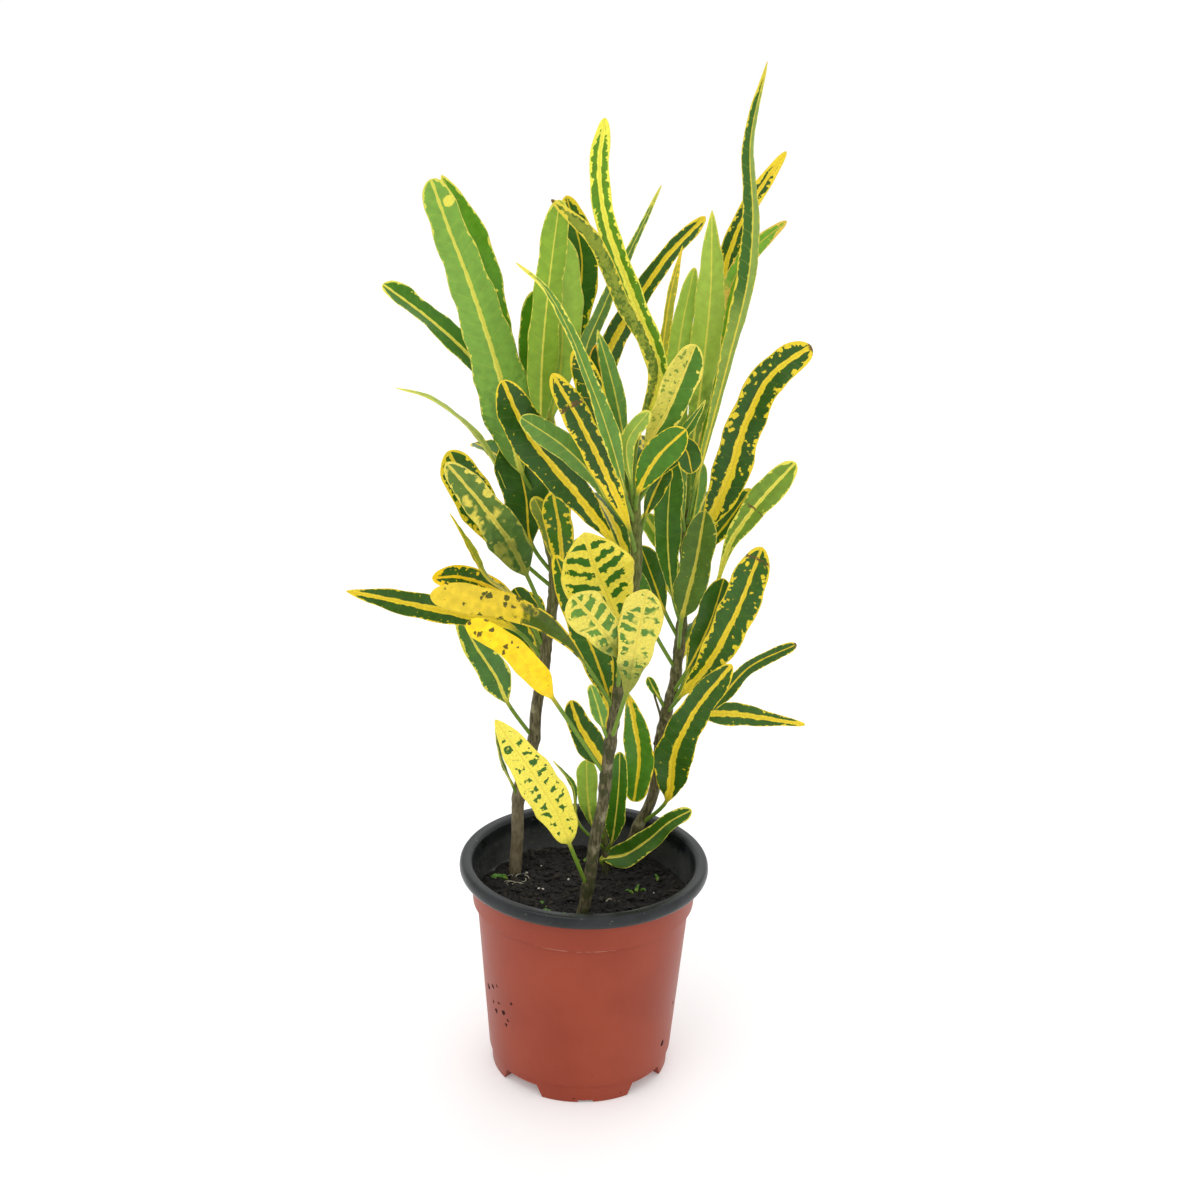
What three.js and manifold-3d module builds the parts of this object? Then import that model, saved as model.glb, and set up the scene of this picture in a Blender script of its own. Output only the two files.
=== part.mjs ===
import * as THREE from 'three';
import { mergeVertices } from 'three/addons/utils/BufferGeometryUtils.js';
import Module from 'manifold-3d';

// A croton in its round two-coloured nursery pot. Millimetres, +Z up, seen from the front along +Y.
// The origin is the middle of the pot's foot, on the surface that the pot stands on.

const wasm = await Module();
wasm.setup();

// Pot
const RIM_RADIUS = 65;
const POT_HEIGHT = 119;
const LIP_HEIGHT = 7;
const COLLAR_TOP_RADIUS = 59.2;
const COLLAR_FOOT_RADIUS = 58;
const COLLAR_FOOT_HEIGHT = 96;
const BODY_TOP_RADIUS = 55.6;
const BODY_FOOT_RADIUS = 48.6;
const HEEL_RADIUS = 46.9;
const HEEL_HEIGHT = 10;
const HEEL_FLARE = 0.6;
const CHAMFER = 0.8;
const COLLAR_SLOPE = 1.2;
const LIP_ROUND = 1.9;
const MOUTH_ROUND = 2;
const WALL = 1.3;
const FLOOR = 1.5;
const POT_SIDES = 48;

// Underside: four flat pads with a raised cross between them
const CHANNEL_WIDTH = 21;
const CHANNEL_HEIGHT = 7;
const CHANNEL_TURN = 50;
const CHANNEL_FLARE = 3.5;
const NOTCH_LENGTH = 10;
const NOTCH_WIDTH = 8;
const NOTCH_HEIGHT = 1.5;
const DRAIN_RADIUS = 4.5;
const DRAIN_DISTANCE = 28;
const DRAIN_SIDES = 12;

// Soil
const SOIL_LEVEL = 97;
const SOIL_EDGE = 0.6;
const GAP = 0.3;
const HOLE_GAP = 0.6;
const HOLE_BOTTOM = 60;
const HOLE_SIDES = 16;

// How far a cutting solid reaches past the face that it cuts.
const OVERRUN = 1;

// Leaves
const PETIOLE_WIDTH = 1.8;
const PETIOLE_THICKNESS = 1.6;
const BLADE_THICKNESS = 0.8;
const BLADE_FOLD = 0.32;
const BLADE_WAVE = 0.07;
const BLADE_WAVES = 2;
const LEFT_WAVE_SHIFT = 2;
const FOOT_SWELL = 0.5;
const BLADE_STATIONS = [0, 0.12, 0.27, 0.45, 0.65, 0.82, 0.94, 1];
const PETIOLE_STATIONS = [0, 0.5];
const CURVE_DIVISIONS = 40;
const SAME_POINT = 1e-4;

// Stems
const STEM_SIDES = 8;
const STEM_STEP = 14;
const STEM_UPRIGHT = 1.5;

// The eye from which the plant is drawn. Points of stems and leaves are given as they are seen from it:
// [x, z, y], where x and z are read on the upright plane through the pot's axis, and y is the depth.
const EYE = new THREE.Vector3(4.7, -966, 624);

// The upper side of a leaf or its pale underside is turned to the eye.
const UPPER = 1;
const UNDER = -1;

// Outlines of a blade from its foot at 0 to its tip at 1: half its breadth as a share of the greatest one.
const deg = THREE.MathUtils.degToRad;
const sine = (t, shift, fullness) => Math.max(0, Math.sin(Math.PI * t ** shift)) ** fullness;
const strap = (widest, taper, tip, slimness = 0.8) => (t) => {
  const foot = Math.sin((Math.PI / 2) * Math.min(1, t / widest)) ** slimness;
  const narrowing = 1 - (taper * Math.max(0, t - widest)) / (1 - widest);
  const end = Math.sqrt(Math.max(0, 1 - (Math.max(0, t - 1 + tip) / tip) ** 2.4));
  return foot * narrowing * end;
};
const ROUND = strap(0.6, 0, 0.3);
const FULL = strap(0.3, 0, 0.3);
const CLUB = strap(0.8, 0, 0.18);
const PADDLE = strap(0.8, 0, 0.22, 1.8);
const STRAP = strap(0.35, 0.2, 0.14);
const TAPER = strap(0.25, 0.5, 0.1);
const LANCE = strap(0.35, 0.4, 0.22);
const SPEAR = strap(0.35, 0.85, 0.06);
const OVAL = (t) => sine(t, 1.36, 0.65);
const BROAD = (t) => sine(t, 0.85, 0.6);
const POINTED = (t) => sine(t, 1.15, 0.75);

// Stems: where each stands in the soil, its radius there and at its top, and its seen points.
const STEMS = {
  left: {
    base: [-37, 24],
    radius: [3.4, 2.5],
    line: [
      [-35, 130, 24], [-35, 148, 24], [-34, 160, 24], [-30, 173, 23], [-27, 187, 23], [-26.5, 200, 22],
      [-25, 212, 22], [-23, 225, 22], [-21.5, 240, 21], [-19.5, 255, 21], [-18, 270, 20], [-19, 283, 20],
      [-23, 300, 20], [-26, 335, 20],
    ],
  },
  middle: {
    base: [-0.2, -25],
    radius: [3.2, 2.4],
    line: [
      [1, 92, -25], [3.5, 110, -25], [5.5, 130, -25], [9, 150, -25], [10.5, 170, -24], [12.5, 190, -24],
      [15, 210, -23], [19, 235, -22], [21, 265, -22], [22.5, 280, -21], [22, 290, -21], [20, 320, -20],
    ],
  },
  right: {
    base: [22.5, 40],
    radius: [3.2, 2.3],
    line: [
      [25, 130, 39], [28.5, 140, 38], [33, 150, 37], [35.5, 160, 36], [36.3, 170, 35], [37.5, 188, 34],
      [39.5, 200, 32], [41.5, 210, 31], [43.5, 220, 30], [44.5, 230, 29], [46, 252, 28], [46, 280, 26],
      [46, 313, 25],
    ],
  },
  low: {
    base: [12, 28],
    radius: [2.2, 1.4],
    line: [[11.5, 118, 28], [10.5, 127, 27], [10, 137, 25]],
  },
};

// Leaves of each stem: [seen height where the petiole leaves the stem, or a point on another blade; width;
// side turned to the eye; outline; roll in degrees; seen points from the foot of the blade to its tip].
const LEAVES = {
  left: [
    [312, 26, UNDER, TAPER, 0,
      [[-35, 328, 11], [-46, 375, 4], [-62, 424, -8], [-71, 447, -16], [-79, 469, -25]]],
    [325, 18, UPPER, OVAL, 0, [[-35, 358, 27], [-49, 403, 32], [-60, 441, 33], [-74, 471, 30]]],
    [320, 16, UPPER, STRAP, 42, [[-36, 350, 21], [-57, 381, 19], [-79, 402, 18], [-102, 419, 18]]],
    [300, 8, UPPER, POINTED, 72,
      [[-38, 312, 16], [-50, 335, 12], [-62, 351, 10], [-80, 364, 8], [-96, 369, 6]]],
    [324, 15, UNDER, STRAP, 0, [[-26, 348, 11], [-26, 385, 3], [-23, 425, -1], [-19, 461, -2]]],
    [327, 20, UNDER, ROUND, 0, [[-21, 356, 16], [-17, 383, 13], [-17, 412, 12], [-20, 446, 13]]],
    [329, 16, UPPER, ROUND, 0, [[-22, 356, 27], [-13, 395, 33], [-8, 432, 35], [-16, 463, 31]]],
    [331, 13, UPPER, ROUND, 0, [[-28, 352, 24], [-30, 373, 25], [-31, 396, 25], [-30, 418, 24]]],
    [275, 24, UPPER, ROUND, 0, [[-30, 292, 16], [-33, 316, 15], [-40, 346, 16]]],
    [270, 9, UNDER, ROUND, 0, [[-19, 284, 12], [-22, 300, 8], [-29, 316, 5]]],
    [262, 14, UPPER, ROUND, 0, [[-15, 278, 12], [-16, 298, 4], [-20, 319, -3]]],
    [268, 20, UPPER, ROUND, 0, [[-34, 282, 18], [-50, 301, 14], [-61, 319, 11], [-71, 338, 9]]],
    [248, 20, UPPER, LANCE, 0, [[-32, 275, 8], [-42, 294, 0], [-56, 313, -7], [-72, 332, -12]]],
    [244, 9, UPPER, POINTED, 72, [[-36, 262, 3], [-52, 273, -10], [-61, 289, -16], [-70, 306, -21]]],
    [236, 12, UPPER, ROUND, 0, [[-35, 256, 12], [-50, 268, 2], [-66, 273, -6], [-79, 272, -11]]],
    [230, 13, UPPER, POINTED, 0, [[-38, 246, 14], [-65, 253, 2], [-95, 259, -12], [-122, 264, -25]]],
    [186, 16, UPPER, LANCE, 0, [[-41, 206, 16], [-47, 220, 13], [-57, 236, 11], [-66, 254, 10]]],
    [152, 6, UPPER, POINTED, 70, [[-38, 160, 20], [-44, 173, 16], [-47, 191, 14]]],
    [222, 13, UPPER, ROUND, 0, [[-27, 233, 26], [-35, 244, 28], [-49, 257, 30]]],
    [226, 12, UPPER, ROUND, 0, [[-27, 243, 33], [-31, 255, 39], [-38, 268, 44]]],
    [218, 14, UPPER, ROUND, 0, [[-23, 229, 36], [-25, 240, 43], [-28, 253, 49], [-32, 266, 53]]],
  ],
  middle: [
    [310, 11, UPPER, STRAP, 0,
      [[25, 342, -15], [30, 378, -9], [17, 414, -2], [3, 450, 3], [-1, 475, 5], [1, 499, 5]]],
    [314, 7, UNDER, ROUND, 0,
      [[20, 342, -26], [27, 383, -19], [11, 414, -14], [-3, 443, -12], [-23, 461, -14]]],
    [314, 8, UNDER, SPEAR, 0, [[3, 350, -5], [-6, 384, 7], [3, 412, 12], [14, 437, 16], [28, 469, 20]]],
    [306, 13, UPPER, TAPER, 0, [[4, 348, 4], [3, 381, 15], [16, 410, 19], [32, 436, 21], [49, 455, 22]]],
    [318, 8, UPPER, POINTED, 50, [[28, 340, -6], [31, 390, 3], [34, 418, 5], [39, 441, 6]]],
    [302, 11, UPPER, SPEAR, 42,
      [[15, 320, -32], [10, 338, -44], [3, 359, -53], [-5, 379, -57], [-14, 400, -56], [-26, 420, -54],
        [-39, 431, -52]]],
    [302, 13, UPPER, ROUND, 0, [[12, 326, -22], [0, 362, -22], [-10, 391, -24]]],
    [286, 13, UPPER, ROUND, 0, [[18, 301, -31], [8, 324, -39], [-6, 352, -48], [-21, 378, -55]]],
    [276, 19, UPPER, ROUND, 0, [[11, 293, -26], [-9, 319, -27], [-32, 347, -30], [-45, 374, -36]]],
    [298, 12, UNDER, ROUND, 0, [[7, 315, -30], [-1, 328, -34], [-15, 342, -38], [-36, 356, -44]]],
    [203, 14, UPPER, CLUB, 0,
      [[-3, 230, -27], [-15, 244, -30], [-33, 255, -35], [-56, 261, -41], [-80, 263, -47]]],
    [166, 13, UPPER, STRAP, 0,
      [[-18, 209, -32], [-27, 222, -38], [-39, 235, -44], [-50, 243, -47], [-62, 248, -50]]],
    [101, 20, UPPER, BROAD, 0, [[-8, 127, -37], [-14, 143, -44], [-28, 167, -58], [-47, 196, -72]]],
    [212, 35, UPPER, OVAL, 0, [[14, 250, -38], [8, 266, -42], [1, 282, -46], [-4, 298, -50]]],
    [186, 20, UPPER, CLUB, 0, [[19, 212, -40], [22, 230, -52], [25, 250, -62], [28, 269, -72]]],
    [[21, 221, -46], 20, UPPER, CLUB, 0, [[17, 231, -51], [10, 242, -57], [3, 251, -62], [-9, 265, -68]]],
    [196, 16, UPPER, LANCE, 0, [[11, 208, -17], [4, 230, -15], [-7, 256, -13], [-18, 286, -12]]],
    [182, 12, UPPER, ROUND, 0, [[10, 192, -12], [9, 215, -5], [8, 250, -3]]],
    [160, 15, UPPER, LANCE, 0, [[8, 171, -14], [3, 182, -8], [-4, 194, -4], [-9, 208, -2]]],
    [216, 15, UPPER, ROUND, 0, [[20, 212, -12], [24, 196, -2], [27, 176, 5], [25, 152, 11]]],
    [316, 16, UPPER, ROUND, 0, [[25, 341, -24], [34, 359, -26], [41, 377, -26], [47, 394, -25]]],
    [308, 15, UPPER, ROUND, 0, [[22, 320, -30], [31, 338, -38], [44, 352, -42]]],
    [312, 12, UPPER, ROUND, 0, [[28, 325, -16], [38, 340, -17], [44, 342, -18], [48, 330, -20]]],
    [310, 8, UNDER, ROUND, 0, [[18, 326, -32], [16, 345, -37], [26, 361, -38]]],
    [316, 9, UNDER, POINTED, 0, [[16, 337, -18], [9, 370, -15], [0, 400, -13]]],
    [318, 11, UPPER, ROUND, 0, [[14, 345, -10], [5, 370, -6], [0, 393, -4]]],
    [290, 10, UPPER, ROUND, 0, [[26, 308, -14], [30, 320, -12], [36, 334, -10]]],
    [318, 6, UPPER, POINTED, 30, [[32, 336, -10], [44, 352, -8], [53, 367, -8]]],
    [184, 8, UNDER, LANCE, 0, [[8, 194, -27], [5, 205, -30], [1, 217, -33]]],
  ],
  right: [
    [306, 13, UNDER, LANCE, 0, [[42, 335, 21], [38, 372, 18], [40, 401, 16], [45, 431, 16]]],
    [308, 15, UNDER, POINTED, 0, [[47, 335, 16], [51, 382, 9], [53, 420, 6], [52, 458, 4]]],
    [300, 11, UNDER, POINTED, 40,
      [[50, 325, 13], [63, 388, 0], [70, 425, -5], [71, 454, -6], [68, 490, -6], [74, 526, -6]]],
    [312, 12, UPPER, LANCE, 0, [[48, 340, 33], [56, 400, 40], [60, 434, 42], [69, 460, 43], [85, 486, 43]]],
    [310, 12, UPPER, LANCE, 0, [[50, 340, 27], [58, 392, 30], [63, 424, 31], [72, 440, 31], [87, 454, 31]]],
    [280, 19, UPPER, STRAP, 0, [[55, 300, 22], [66, 328, 19], [71, 350, 17], [83, 379, 13], [102, 395, 10]]],
    [272, 10, UPPER, ROUND, 0, [[54, 288, 34], [66, 305, 37], [77, 323, 38]]],
    [238, 14, UPPER, PADDLE, 0, [[61, 268, 24], [68, 294, 18], [79, 313, 13], [98, 337, 10]]],
    [212, 16, UPPER, ROUND, 0, [[50, 227, 22], [60, 252, 20], [66, 276, 19]]],
    [202, 19, UPPER, ROUND, 0, [[47, 212, 18], [61, 231, 13], [73, 258, 8], [84, 293, 3]]],
    [138, 20, UPPER, LANCE, 0, [[42, 153, 26], [45, 180, 13], [54, 203, 4], [72, 230, -3]]],
    [194, 8, UPPER, STRAP, 20, [[60, 203, 30], [69, 214, 30], [81, 229, 32], [104, 242, 35]]],
    [188, 13, UPPER, SPEAR, 0, [[54, 201, 34], [70, 203, 37], [90, 201, 41], [111, 198, 46]]],
    [236, 16, UPPER, FULL, 0, [[46, 255, 10], [51, 280, 1], [55, 311, -6]]],
    [250, 14, UPPER, ROUND, 0, [[41, 266, 20], [37, 300, 14], [38, 338, 10]]],
    [276, 10, UPPER, ROUND, 0, [[38, 287, 24], [32, 298, 23], [25, 309, 22]]],
    [298, 8, UNDER, ROUND, 0, [[44, 307, 17], [42, 320, 13], [41, 336, 11]]],
    [290, 8, UNDER, ROUND, 0, [[49, 305, 21], [51, 320, 20], [52, 336, 19]]],
    [242, 13, UPPER, ROUND, 0, [[37, 258, 28], [31, 274, 28], [24, 292, 28]]],
    [204, 8, UPPER, ROUND, 0, [[49, 221, 25], [53, 238, 23], [56, 258, 22]]],
    [226, 12, UPPER, ROUND, 0, [[32, 247, 20], [26, 262, 16], [20, 280, 14]]],
    [203, 5, UPPER, ROUND, 0, [[36, 211, 28], [33, 216, 27], [30, 222, 26]]],
  ],
  low: [
    [130, 11, UNDER, ROUND, 0, [[4, 138, 16], [1, 155, 9], [0, 175, 5]]],
    [124, 5, UPPER, POINTED, 60, [[-4, 140, 8], [-7, 160, 1], [-17, 174, -3]]],
    [122, 10, UPPER, STRAP, 0, [[14, 128, 19], [16, 145, 7], [17, 163, -2], [17, 180, -4]]],
    [113, 14, UPPER, TAPER, 0, [[9, 118, 27], [21, 121, 26], [33, 130, 23], [44, 141, 20], [55, 148, 17]]],
  ],
};

// Leaves that arch away from the front: [stem, seen height, compass angle, rise in degrees, length, width]
const BACK_LEAVES = [
  ['left', 252, 66, 44, 64, 15],
  ['left', 268, 92, 46, 66, 16],
  ['left', 288, 132, 52, 80, 17],
  ['left', 306, 98, 60, 78, 16],
  ['middle', 268, 112, 44, 74, 15],
  ['middle', 294, 98, 52, 76, 16],
  ['right', 224, 62, 36, 52, 14],
  ['right', 250, 104, 44, 54, 15],
  ['right', 276, 74, 50, 62, 16],
  ['right', 292, 120, 58, 74, 15],
  ['right', 304, 82, 62, 70, 15],
];
const BACK_LEAF_START = 10;
const BACK_LEAF_DROOP = 55;
const BACK_LEAF_STEPS = 4;
const BACK_PETIOLE_SHARE = 0.18;

// A dead twig on the right stem, and its radius.
const TWIG = [[34.5, 185, 34], [37.5, 197, 29], [33, 214, 27]];
const TWIG_RADIUS = 0.8;
const TWIG_STEPS = 3;
const TWIG_SIDES = 5;

function seen([x, z, y]) {
  const onPlane = new THREE.Vector3(x, 0, z);
  return onPlane.sub(EYE).multiplyScalar((y - EYE.y) / -EYE.y).add(EYE);
}

// Solids

function solid(geometry) {
  geometry.deleteAttribute('normal');
  geometry.deleteAttribute('uv');
  const merged = mergeVertices(geometry, SAME_POINT);
  const corners = merged.index.array;
  const kept = [];
  for (let i = 0; i < corners.length; i += 3) {
    const [a, b, c] = corners.slice(i, i + 3);
    if (a !== b && b !== c && c !== a) kept.push(a, b, c);
  }
  const vertProperties = new Float32Array(merged.attributes.position.array);
  return new wasm.Manifold(new wasm.Mesh({ numProp: 3, vertProperties, triVerts: new Uint32Array(kept) }));
}

function geometryOf(body) {
  const mesh = body.getMesh();
  const geometry = new THREE.BufferGeometry();
  geometry.setAttribute('position', new THREE.BufferAttribute(new Float32Array(mesh.vertProperties), 3));
  geometry.setIndex(new THREE.BufferAttribute(new Uint32Array(mesh.triVerts), 1));
  return geometry;
}

function turned(profile) {
  const points = profile.map(([radius, height]) => new THREE.Vector2(radius, height));
  return solid(new THREE.LatheGeometry(points, POT_SIDES).rotateX(Math.PI / 2));
}

// A bar whose foot is wider than its top by the flare on each side.
function block(length, width, bottom, top, turn, flare) {
  const box = new THREE.BoxGeometry(length, width, top - bottom);
  const corners = box.attributes.position;
  for (let i = 0; i < corners.count; i += 1) {
    if (corners.getZ(i) < 0) corners.setY(i, corners.getY(i) + Math.sign(corners.getY(i)) * flare);
  }
  return solid(box.translate(0, 0, (bottom + top) / 2).rotateZ(deg(turn)));
}

function upright(radius, bottom, top, x, y, sides) {
  const cylinder = new THREE.CylinderGeometry(radius, radius, top - bottom, sides);
  return solid(cylinder.rotateX(Math.PI / 2).translate(x, y, (bottom + top) / 2));
}

// Joins rings of points into a closed skin. Strips in `mirrored` are split along the other diagonal,
// so that a thin blade is split alike on both faces.
function lofted(rings, mirrored = []) {
  const count = rings[0].length;
  const position = rings.flat().flatMap((point) => point.toArray());
  const index = [];
  for (let k = 0; k + 1 < rings.length; k += 1) {
    for (let j = 0; j < count; j += 1) {
      const next = (j + 1) % count;
      const [a, b] = [k * count + j, k * count + next];
      const [c, d] = [a + count, b + count];
      if (mirrored.includes(j)) index.push(a, b, c, b, d, c);
      else index.push(a, b, d, a, d, c);
    }
  }
  const last = (rings.length - 1) * count;
  for (let j = 1; j + 1 < count; j += 1) {
    index.push(0, j + 1, j);
    index.push(last, last + j, last + j + 1);
  }
  const geometry = new THREE.BufferGeometry();
  geometry.setAttribute('position', new THREE.Float32BufferAttribute(position, 3));
  geometry.setIndex(index);
  return solid(geometry);
}

// Pot

// A cross of two bars through the axis, the space between the foot pads.
function cross(width, bottom, top) {
  const length = 2 * RIM_RADIUS;
  return block(length, width, bottom, top, CHANNEL_TURN, CHANNEL_FLARE).add(
    block(length, width, bottom, top, CHANNEL_TURN + 90, CHANNEL_FLARE),
  );
}

const LIP = [-90, -45, 0, 45, 90].map((turn) => [
  RIM_RADIUS - LIP_ROUND * (1 - Math.cos(deg(turn))),
  POT_HEIGHT - (LIP_HEIGHT / 2) * (1 - Math.sin(deg(turn))),
]);

const OUTSIDE = [
  [0, 0],
  [HEEL_RADIUS - CHAMFER, 0],
  [HEEL_RADIUS, CHAMFER],
  [HEEL_RADIUS + HEEL_FLARE, HEEL_HEIGHT],
  [BODY_FOOT_RADIUS, HEEL_HEIGHT + CHAMFER],
  [BODY_TOP_RADIUS, COLLAR_FOOT_HEIGHT - COLLAR_SLOPE],
  [COLLAR_FOOT_RADIUS, COLLAR_FOOT_HEIGHT + COLLAR_SLOPE / 2],
  [COLLAR_TOP_RADIUS, POT_HEIGHT - LIP_HEIGHT],
  ...LIP,
  [0, POT_HEIGHT],
];

const INSIDE = [
  [0, FLOOR],
  [HEEL_RADIUS - WALL, FLOOR],
  [HEEL_RADIUS + HEEL_FLARE - WALL, HEEL_HEIGHT],
  [BODY_FOOT_RADIUS - WALL, HEEL_HEIGHT + CHAMFER],
  [BODY_TOP_RADIUS - WALL, COLLAR_FOOT_HEIGHT - COLLAR_SLOPE],
  [COLLAR_FOOT_RADIUS - WALL, COLLAR_FOOT_HEIGHT + COLLAR_SLOPE / 2],
  [COLLAR_TOP_RADIUS - WALL, POT_HEIGHT - MOUTH_ROUND],
  [COLLAR_TOP_RADIUS - WALL + MOUTH_ROUND / 2, POT_HEIGHT + OVERRUN],
  [0, POT_HEIGHT + OVERRUN],
];

function pot() {
  const raisedFloor = cross(CHANNEL_WIDTH + 2 * WALL, 0, CHANNEL_HEIGHT + FLOOR);
  let body = turned(OUTSIDE).subtract(turned(INSIDE).subtract(raisedFloor));
  body = body.subtract(cross(CHANNEL_WIDTH, -OVERRUN, CHANNEL_HEIGHT));
  for (let side = 0; side < 4; side += 1) {
    const turn = CHANNEL_TURN + 90 * side;
    const [x, y] = [DRAIN_DISTANCE * Math.cos(deg(turn)), DRAIN_DISTANCE * Math.sin(deg(turn))];
    body = body.subtract(upright(DRAIN_RADIUS, 0, HEEL_HEIGHT, x, y, DRAIN_SIDES));
    const notch = new THREE.BoxGeometry(NOTCH_LENGTH, NOTCH_WIDTH, 2 * NOTCH_HEIGHT);
    notch.translate(HEEL_RADIUS, 0, 0).rotateZ(deg(turn + 45));
    body = body.subtract(solid(notch));
  }
  return body.subtract(upright(DRAIN_RADIUS, 0, HEEL_HEIGHT, 0, 0, DRAIN_SIDES));
}

// Soil: fills the pot to its level, with a plain hole for each stem.

function soil() {
  const fill = INSIDE.filter(([, height]) => height < COLLAR_FOOT_HEIGHT);
  const profile = fill.map(([radius, height]) => [Math.max(0, radius - GAP), height + GAP]);
  const edge = COLLAR_FOOT_RADIUS - WALL - 3 * GAP;
  profile.push([edge, SOIL_LEVEL - SOIL_EDGE], [edge - SOIL_EDGE, SOIL_LEVEL], [0, SOIL_LEVEL]);
  let body = turned(profile);
  body = body.subtract(cross(CHANNEL_WIDTH + 2 * WALL + 2 * GAP, 0, CHANNEL_HEIGHT + FLOOR + GAP));
  for (const { base, radius } of Object.values(STEMS)) {
    const [x, y] = base;
    body = body.subtract(upright(radius[0] + HOLE_GAP, HOLE_BOTTOM, POT_HEIGHT, x, y, HOLE_SIDES));
  }
  return body;
}

// Stems

function stemCurve({ base: [x, y], line }) {
  const buried = [HOLE_BOTTOM + GAP, (HOLE_BOTTOM + SOIL_LEVEL) / 2, SOIL_LEVEL + STEM_UPRIGHT];
  const points = buried.map((height) => new THREE.Vector3(x, y, height));
  return new THREE.CatmullRomCurve3([...points, ...line.map(seen)], false, 'centripetal');
}

// The point of a stem's line at a seen height.
function stemPoint({ line }, height) {
  const above = Math.max(1, line.findIndex(([, z]) => z >= height));
  const [low, high] = [line[above - 1], line[above]];
  const share = (height - low[1]) / (high[1] - low[1]);
  return seen(low.map((value, i) => value + (high[i] - value) * share));
}

function tube(curve, steps, radiusAt, sides) {
  const rings = [];
  for (let k = 0; k <= steps; k += 1) {
    const share = k / steps;
    const centre = curve.getPointAt(share);
    const along = curve.getTangentAt(share);
    const side = new THREE.Vector3(0, 1, 0).cross(along).normalize();
    const back = along.clone().cross(side);
    const ring = [];
    for (let j = 0; j < sides; j += 1) {
      const angle = (2 * Math.PI * j) / sides;
      const spoke = side.clone().multiplyScalar(Math.cos(angle)).addScaledVector(back, Math.sin(angle));
      ring.push(centre.clone().addScaledVector(spoke, radiusAt(share)));
    }
    rings.push(ring);
  }
  return lofted(rings);
}

function stem(plan) {
  const curve = stemCurve(plan);
  const [foot, top] = plan.radius;
  const buried = (SOIL_LEVEL - HOLE_BOTTOM) / curve.getLength();
  const taper = (share) => THREE.MathUtils.clamp((share - buried) / (1 - buried), 0, 1);
  const steps = Math.round(curve.getLength() / STEM_STEP);
  return tube(curve, steps, (share) => foot + (top - foot) * taper(share), STEM_SIDES);
}

function twig() {
  return tube(new THREE.CatmullRomCurve3(TWIG.map(seen)), TWIG_STEPS, () => TWIG_RADIUS, TWIG_SIDES);
}

// Leaves

// A petiole and a blade as one skin. `facing` gives the direction that its upper side looks in.
function leaf(points, width, outline, facing, phase) {
  const curve = new THREE.CatmullRomCurve3(points, false, 'centripetal');
  curve.arcLengthDivisions = CURVE_DIVISIONS * (points.length - 1);
  const lengths = curve.getLengths();
  const foot = lengths[CURVE_DIVISIONS] / lengths[lengths.length - 1];
  const stations = PETIOLE_STATIONS.map((share) => [share * foot, 0, PETIOLE_THICKNESS]);
  for (const t of BLADE_STATIONS) {
    stations.push([foot + (1 - foot) * t, t, BLADE_THICKNESS + FOOT_SWELL * (1 - t) ** 4]);
  }
  const rings = stations.map(([share, t, thickness]) => {
    const centre = curve.getPointAt(Math.min(1, share));
    const along = curve.getTangentAt(Math.min(1, share));
    const up = facing(centre, along);
    const side = along.clone().cross(up).normalize();
    const breadth = width * outline(t);
    const half = Math.max(PETIOLE_WIDTH, breadth) / 2;
    const turns = 2 * Math.PI * BLADE_WAVES * t;
    const wave = (shift) => BLADE_WAVE * breadth * Math.sin(turns + phase + shift);
    const lift = BLADE_FOLD * (half - PETIOLE_WIDTH / 2);
    const at = (across, rise) => centre.clone().addScaledVector(side, across).addScaledVector(up, rise);
    const [right, left] = [lift + wave(0), lift + wave(LEFT_WAVE_SHIFT)];
    const skin = thickness / 2;
    return [
      at(0, skin), at(half, right + skin), at(half, right - skin),
      at(0, -skin), at(-half, left - skin), at(-half, left + skin),
    ];
  });
  return lofted(rings, [2, 3]);
}

// The upper side looks at the eye, turned about the leaf's line by the roll.
function facingEye(face, roll) {
  return (centre, along) => {
    const sight = EYE.clone().sub(centre).normalize();
    const up = sight.addScaledVector(along, -sight.dot(along)).normalize();
    const side = along.clone().cross(up);
    up.multiplyScalar(Math.cos(deg(roll))).addScaledVector(side, Math.sin(deg(roll)));
    return up.multiplyScalar(face);
  };
}

function facingSky(centre, along) {
  const up = new THREE.Vector3(0, 0, 1);
  return up.addScaledVector(along, -up.dot(along)).normalize();
}

function seenLeaf(plan, [root, width, face, outline, roll, line], phase) {
  const start = Array.isArray(root) ? seen(root) : stemPoint(plan, root);
  return leaf([start, ...line.map(seen)], width, outline, facingEye(face, roll), phase);
}

function backLeaf([name, height, compass, rise, length, width], phase) {
  const points = [stemPoint(STEMS[name], height)];
  const out = new THREE.Vector3(Math.cos(deg(compass)), Math.sin(deg(compass)), 0);
  const lengths = [BACK_PETIOLE_SHARE];
  for (let k = 0; k < BACK_LEAF_STEPS; k += 1) lengths.push((1 - BACK_PETIOLE_SHARE) / BACK_LEAF_STEPS);
  lengths.forEach((share, k) => {
    const slope = deg(rise + BACK_LEAF_START - (BACK_LEAF_DROOP * k) / BACK_LEAF_STEPS);
    const step = out.clone().multiplyScalar(Math.cos(slope)).setZ(Math.sin(slope));
    points.push(points[k].clone().addScaledVector(step, share * length));
  });
  return leaf(points, width, ROUND, facingSky, phase);
}

function leafyStem(name) {
  const pieces = [stem(STEMS[name])];
  LEAVES[name].forEach((plan, i) => pieces.push(seenLeaf(STEMS[name], plan, i)));
  BACK_LEAVES.filter((plan) => plan[0] === name).forEach((plan, i) => pieces.push(backLeaf(plan, i + 1)));
  if (name === 'right') pieces.push(twig());
  return wasm.Manifold.union(pieces);
}

// Assembly

function material(color, roughness) {
  return new THREE.MeshStandardMaterial({ color, roughness, metalness: 0 });
}

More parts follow.
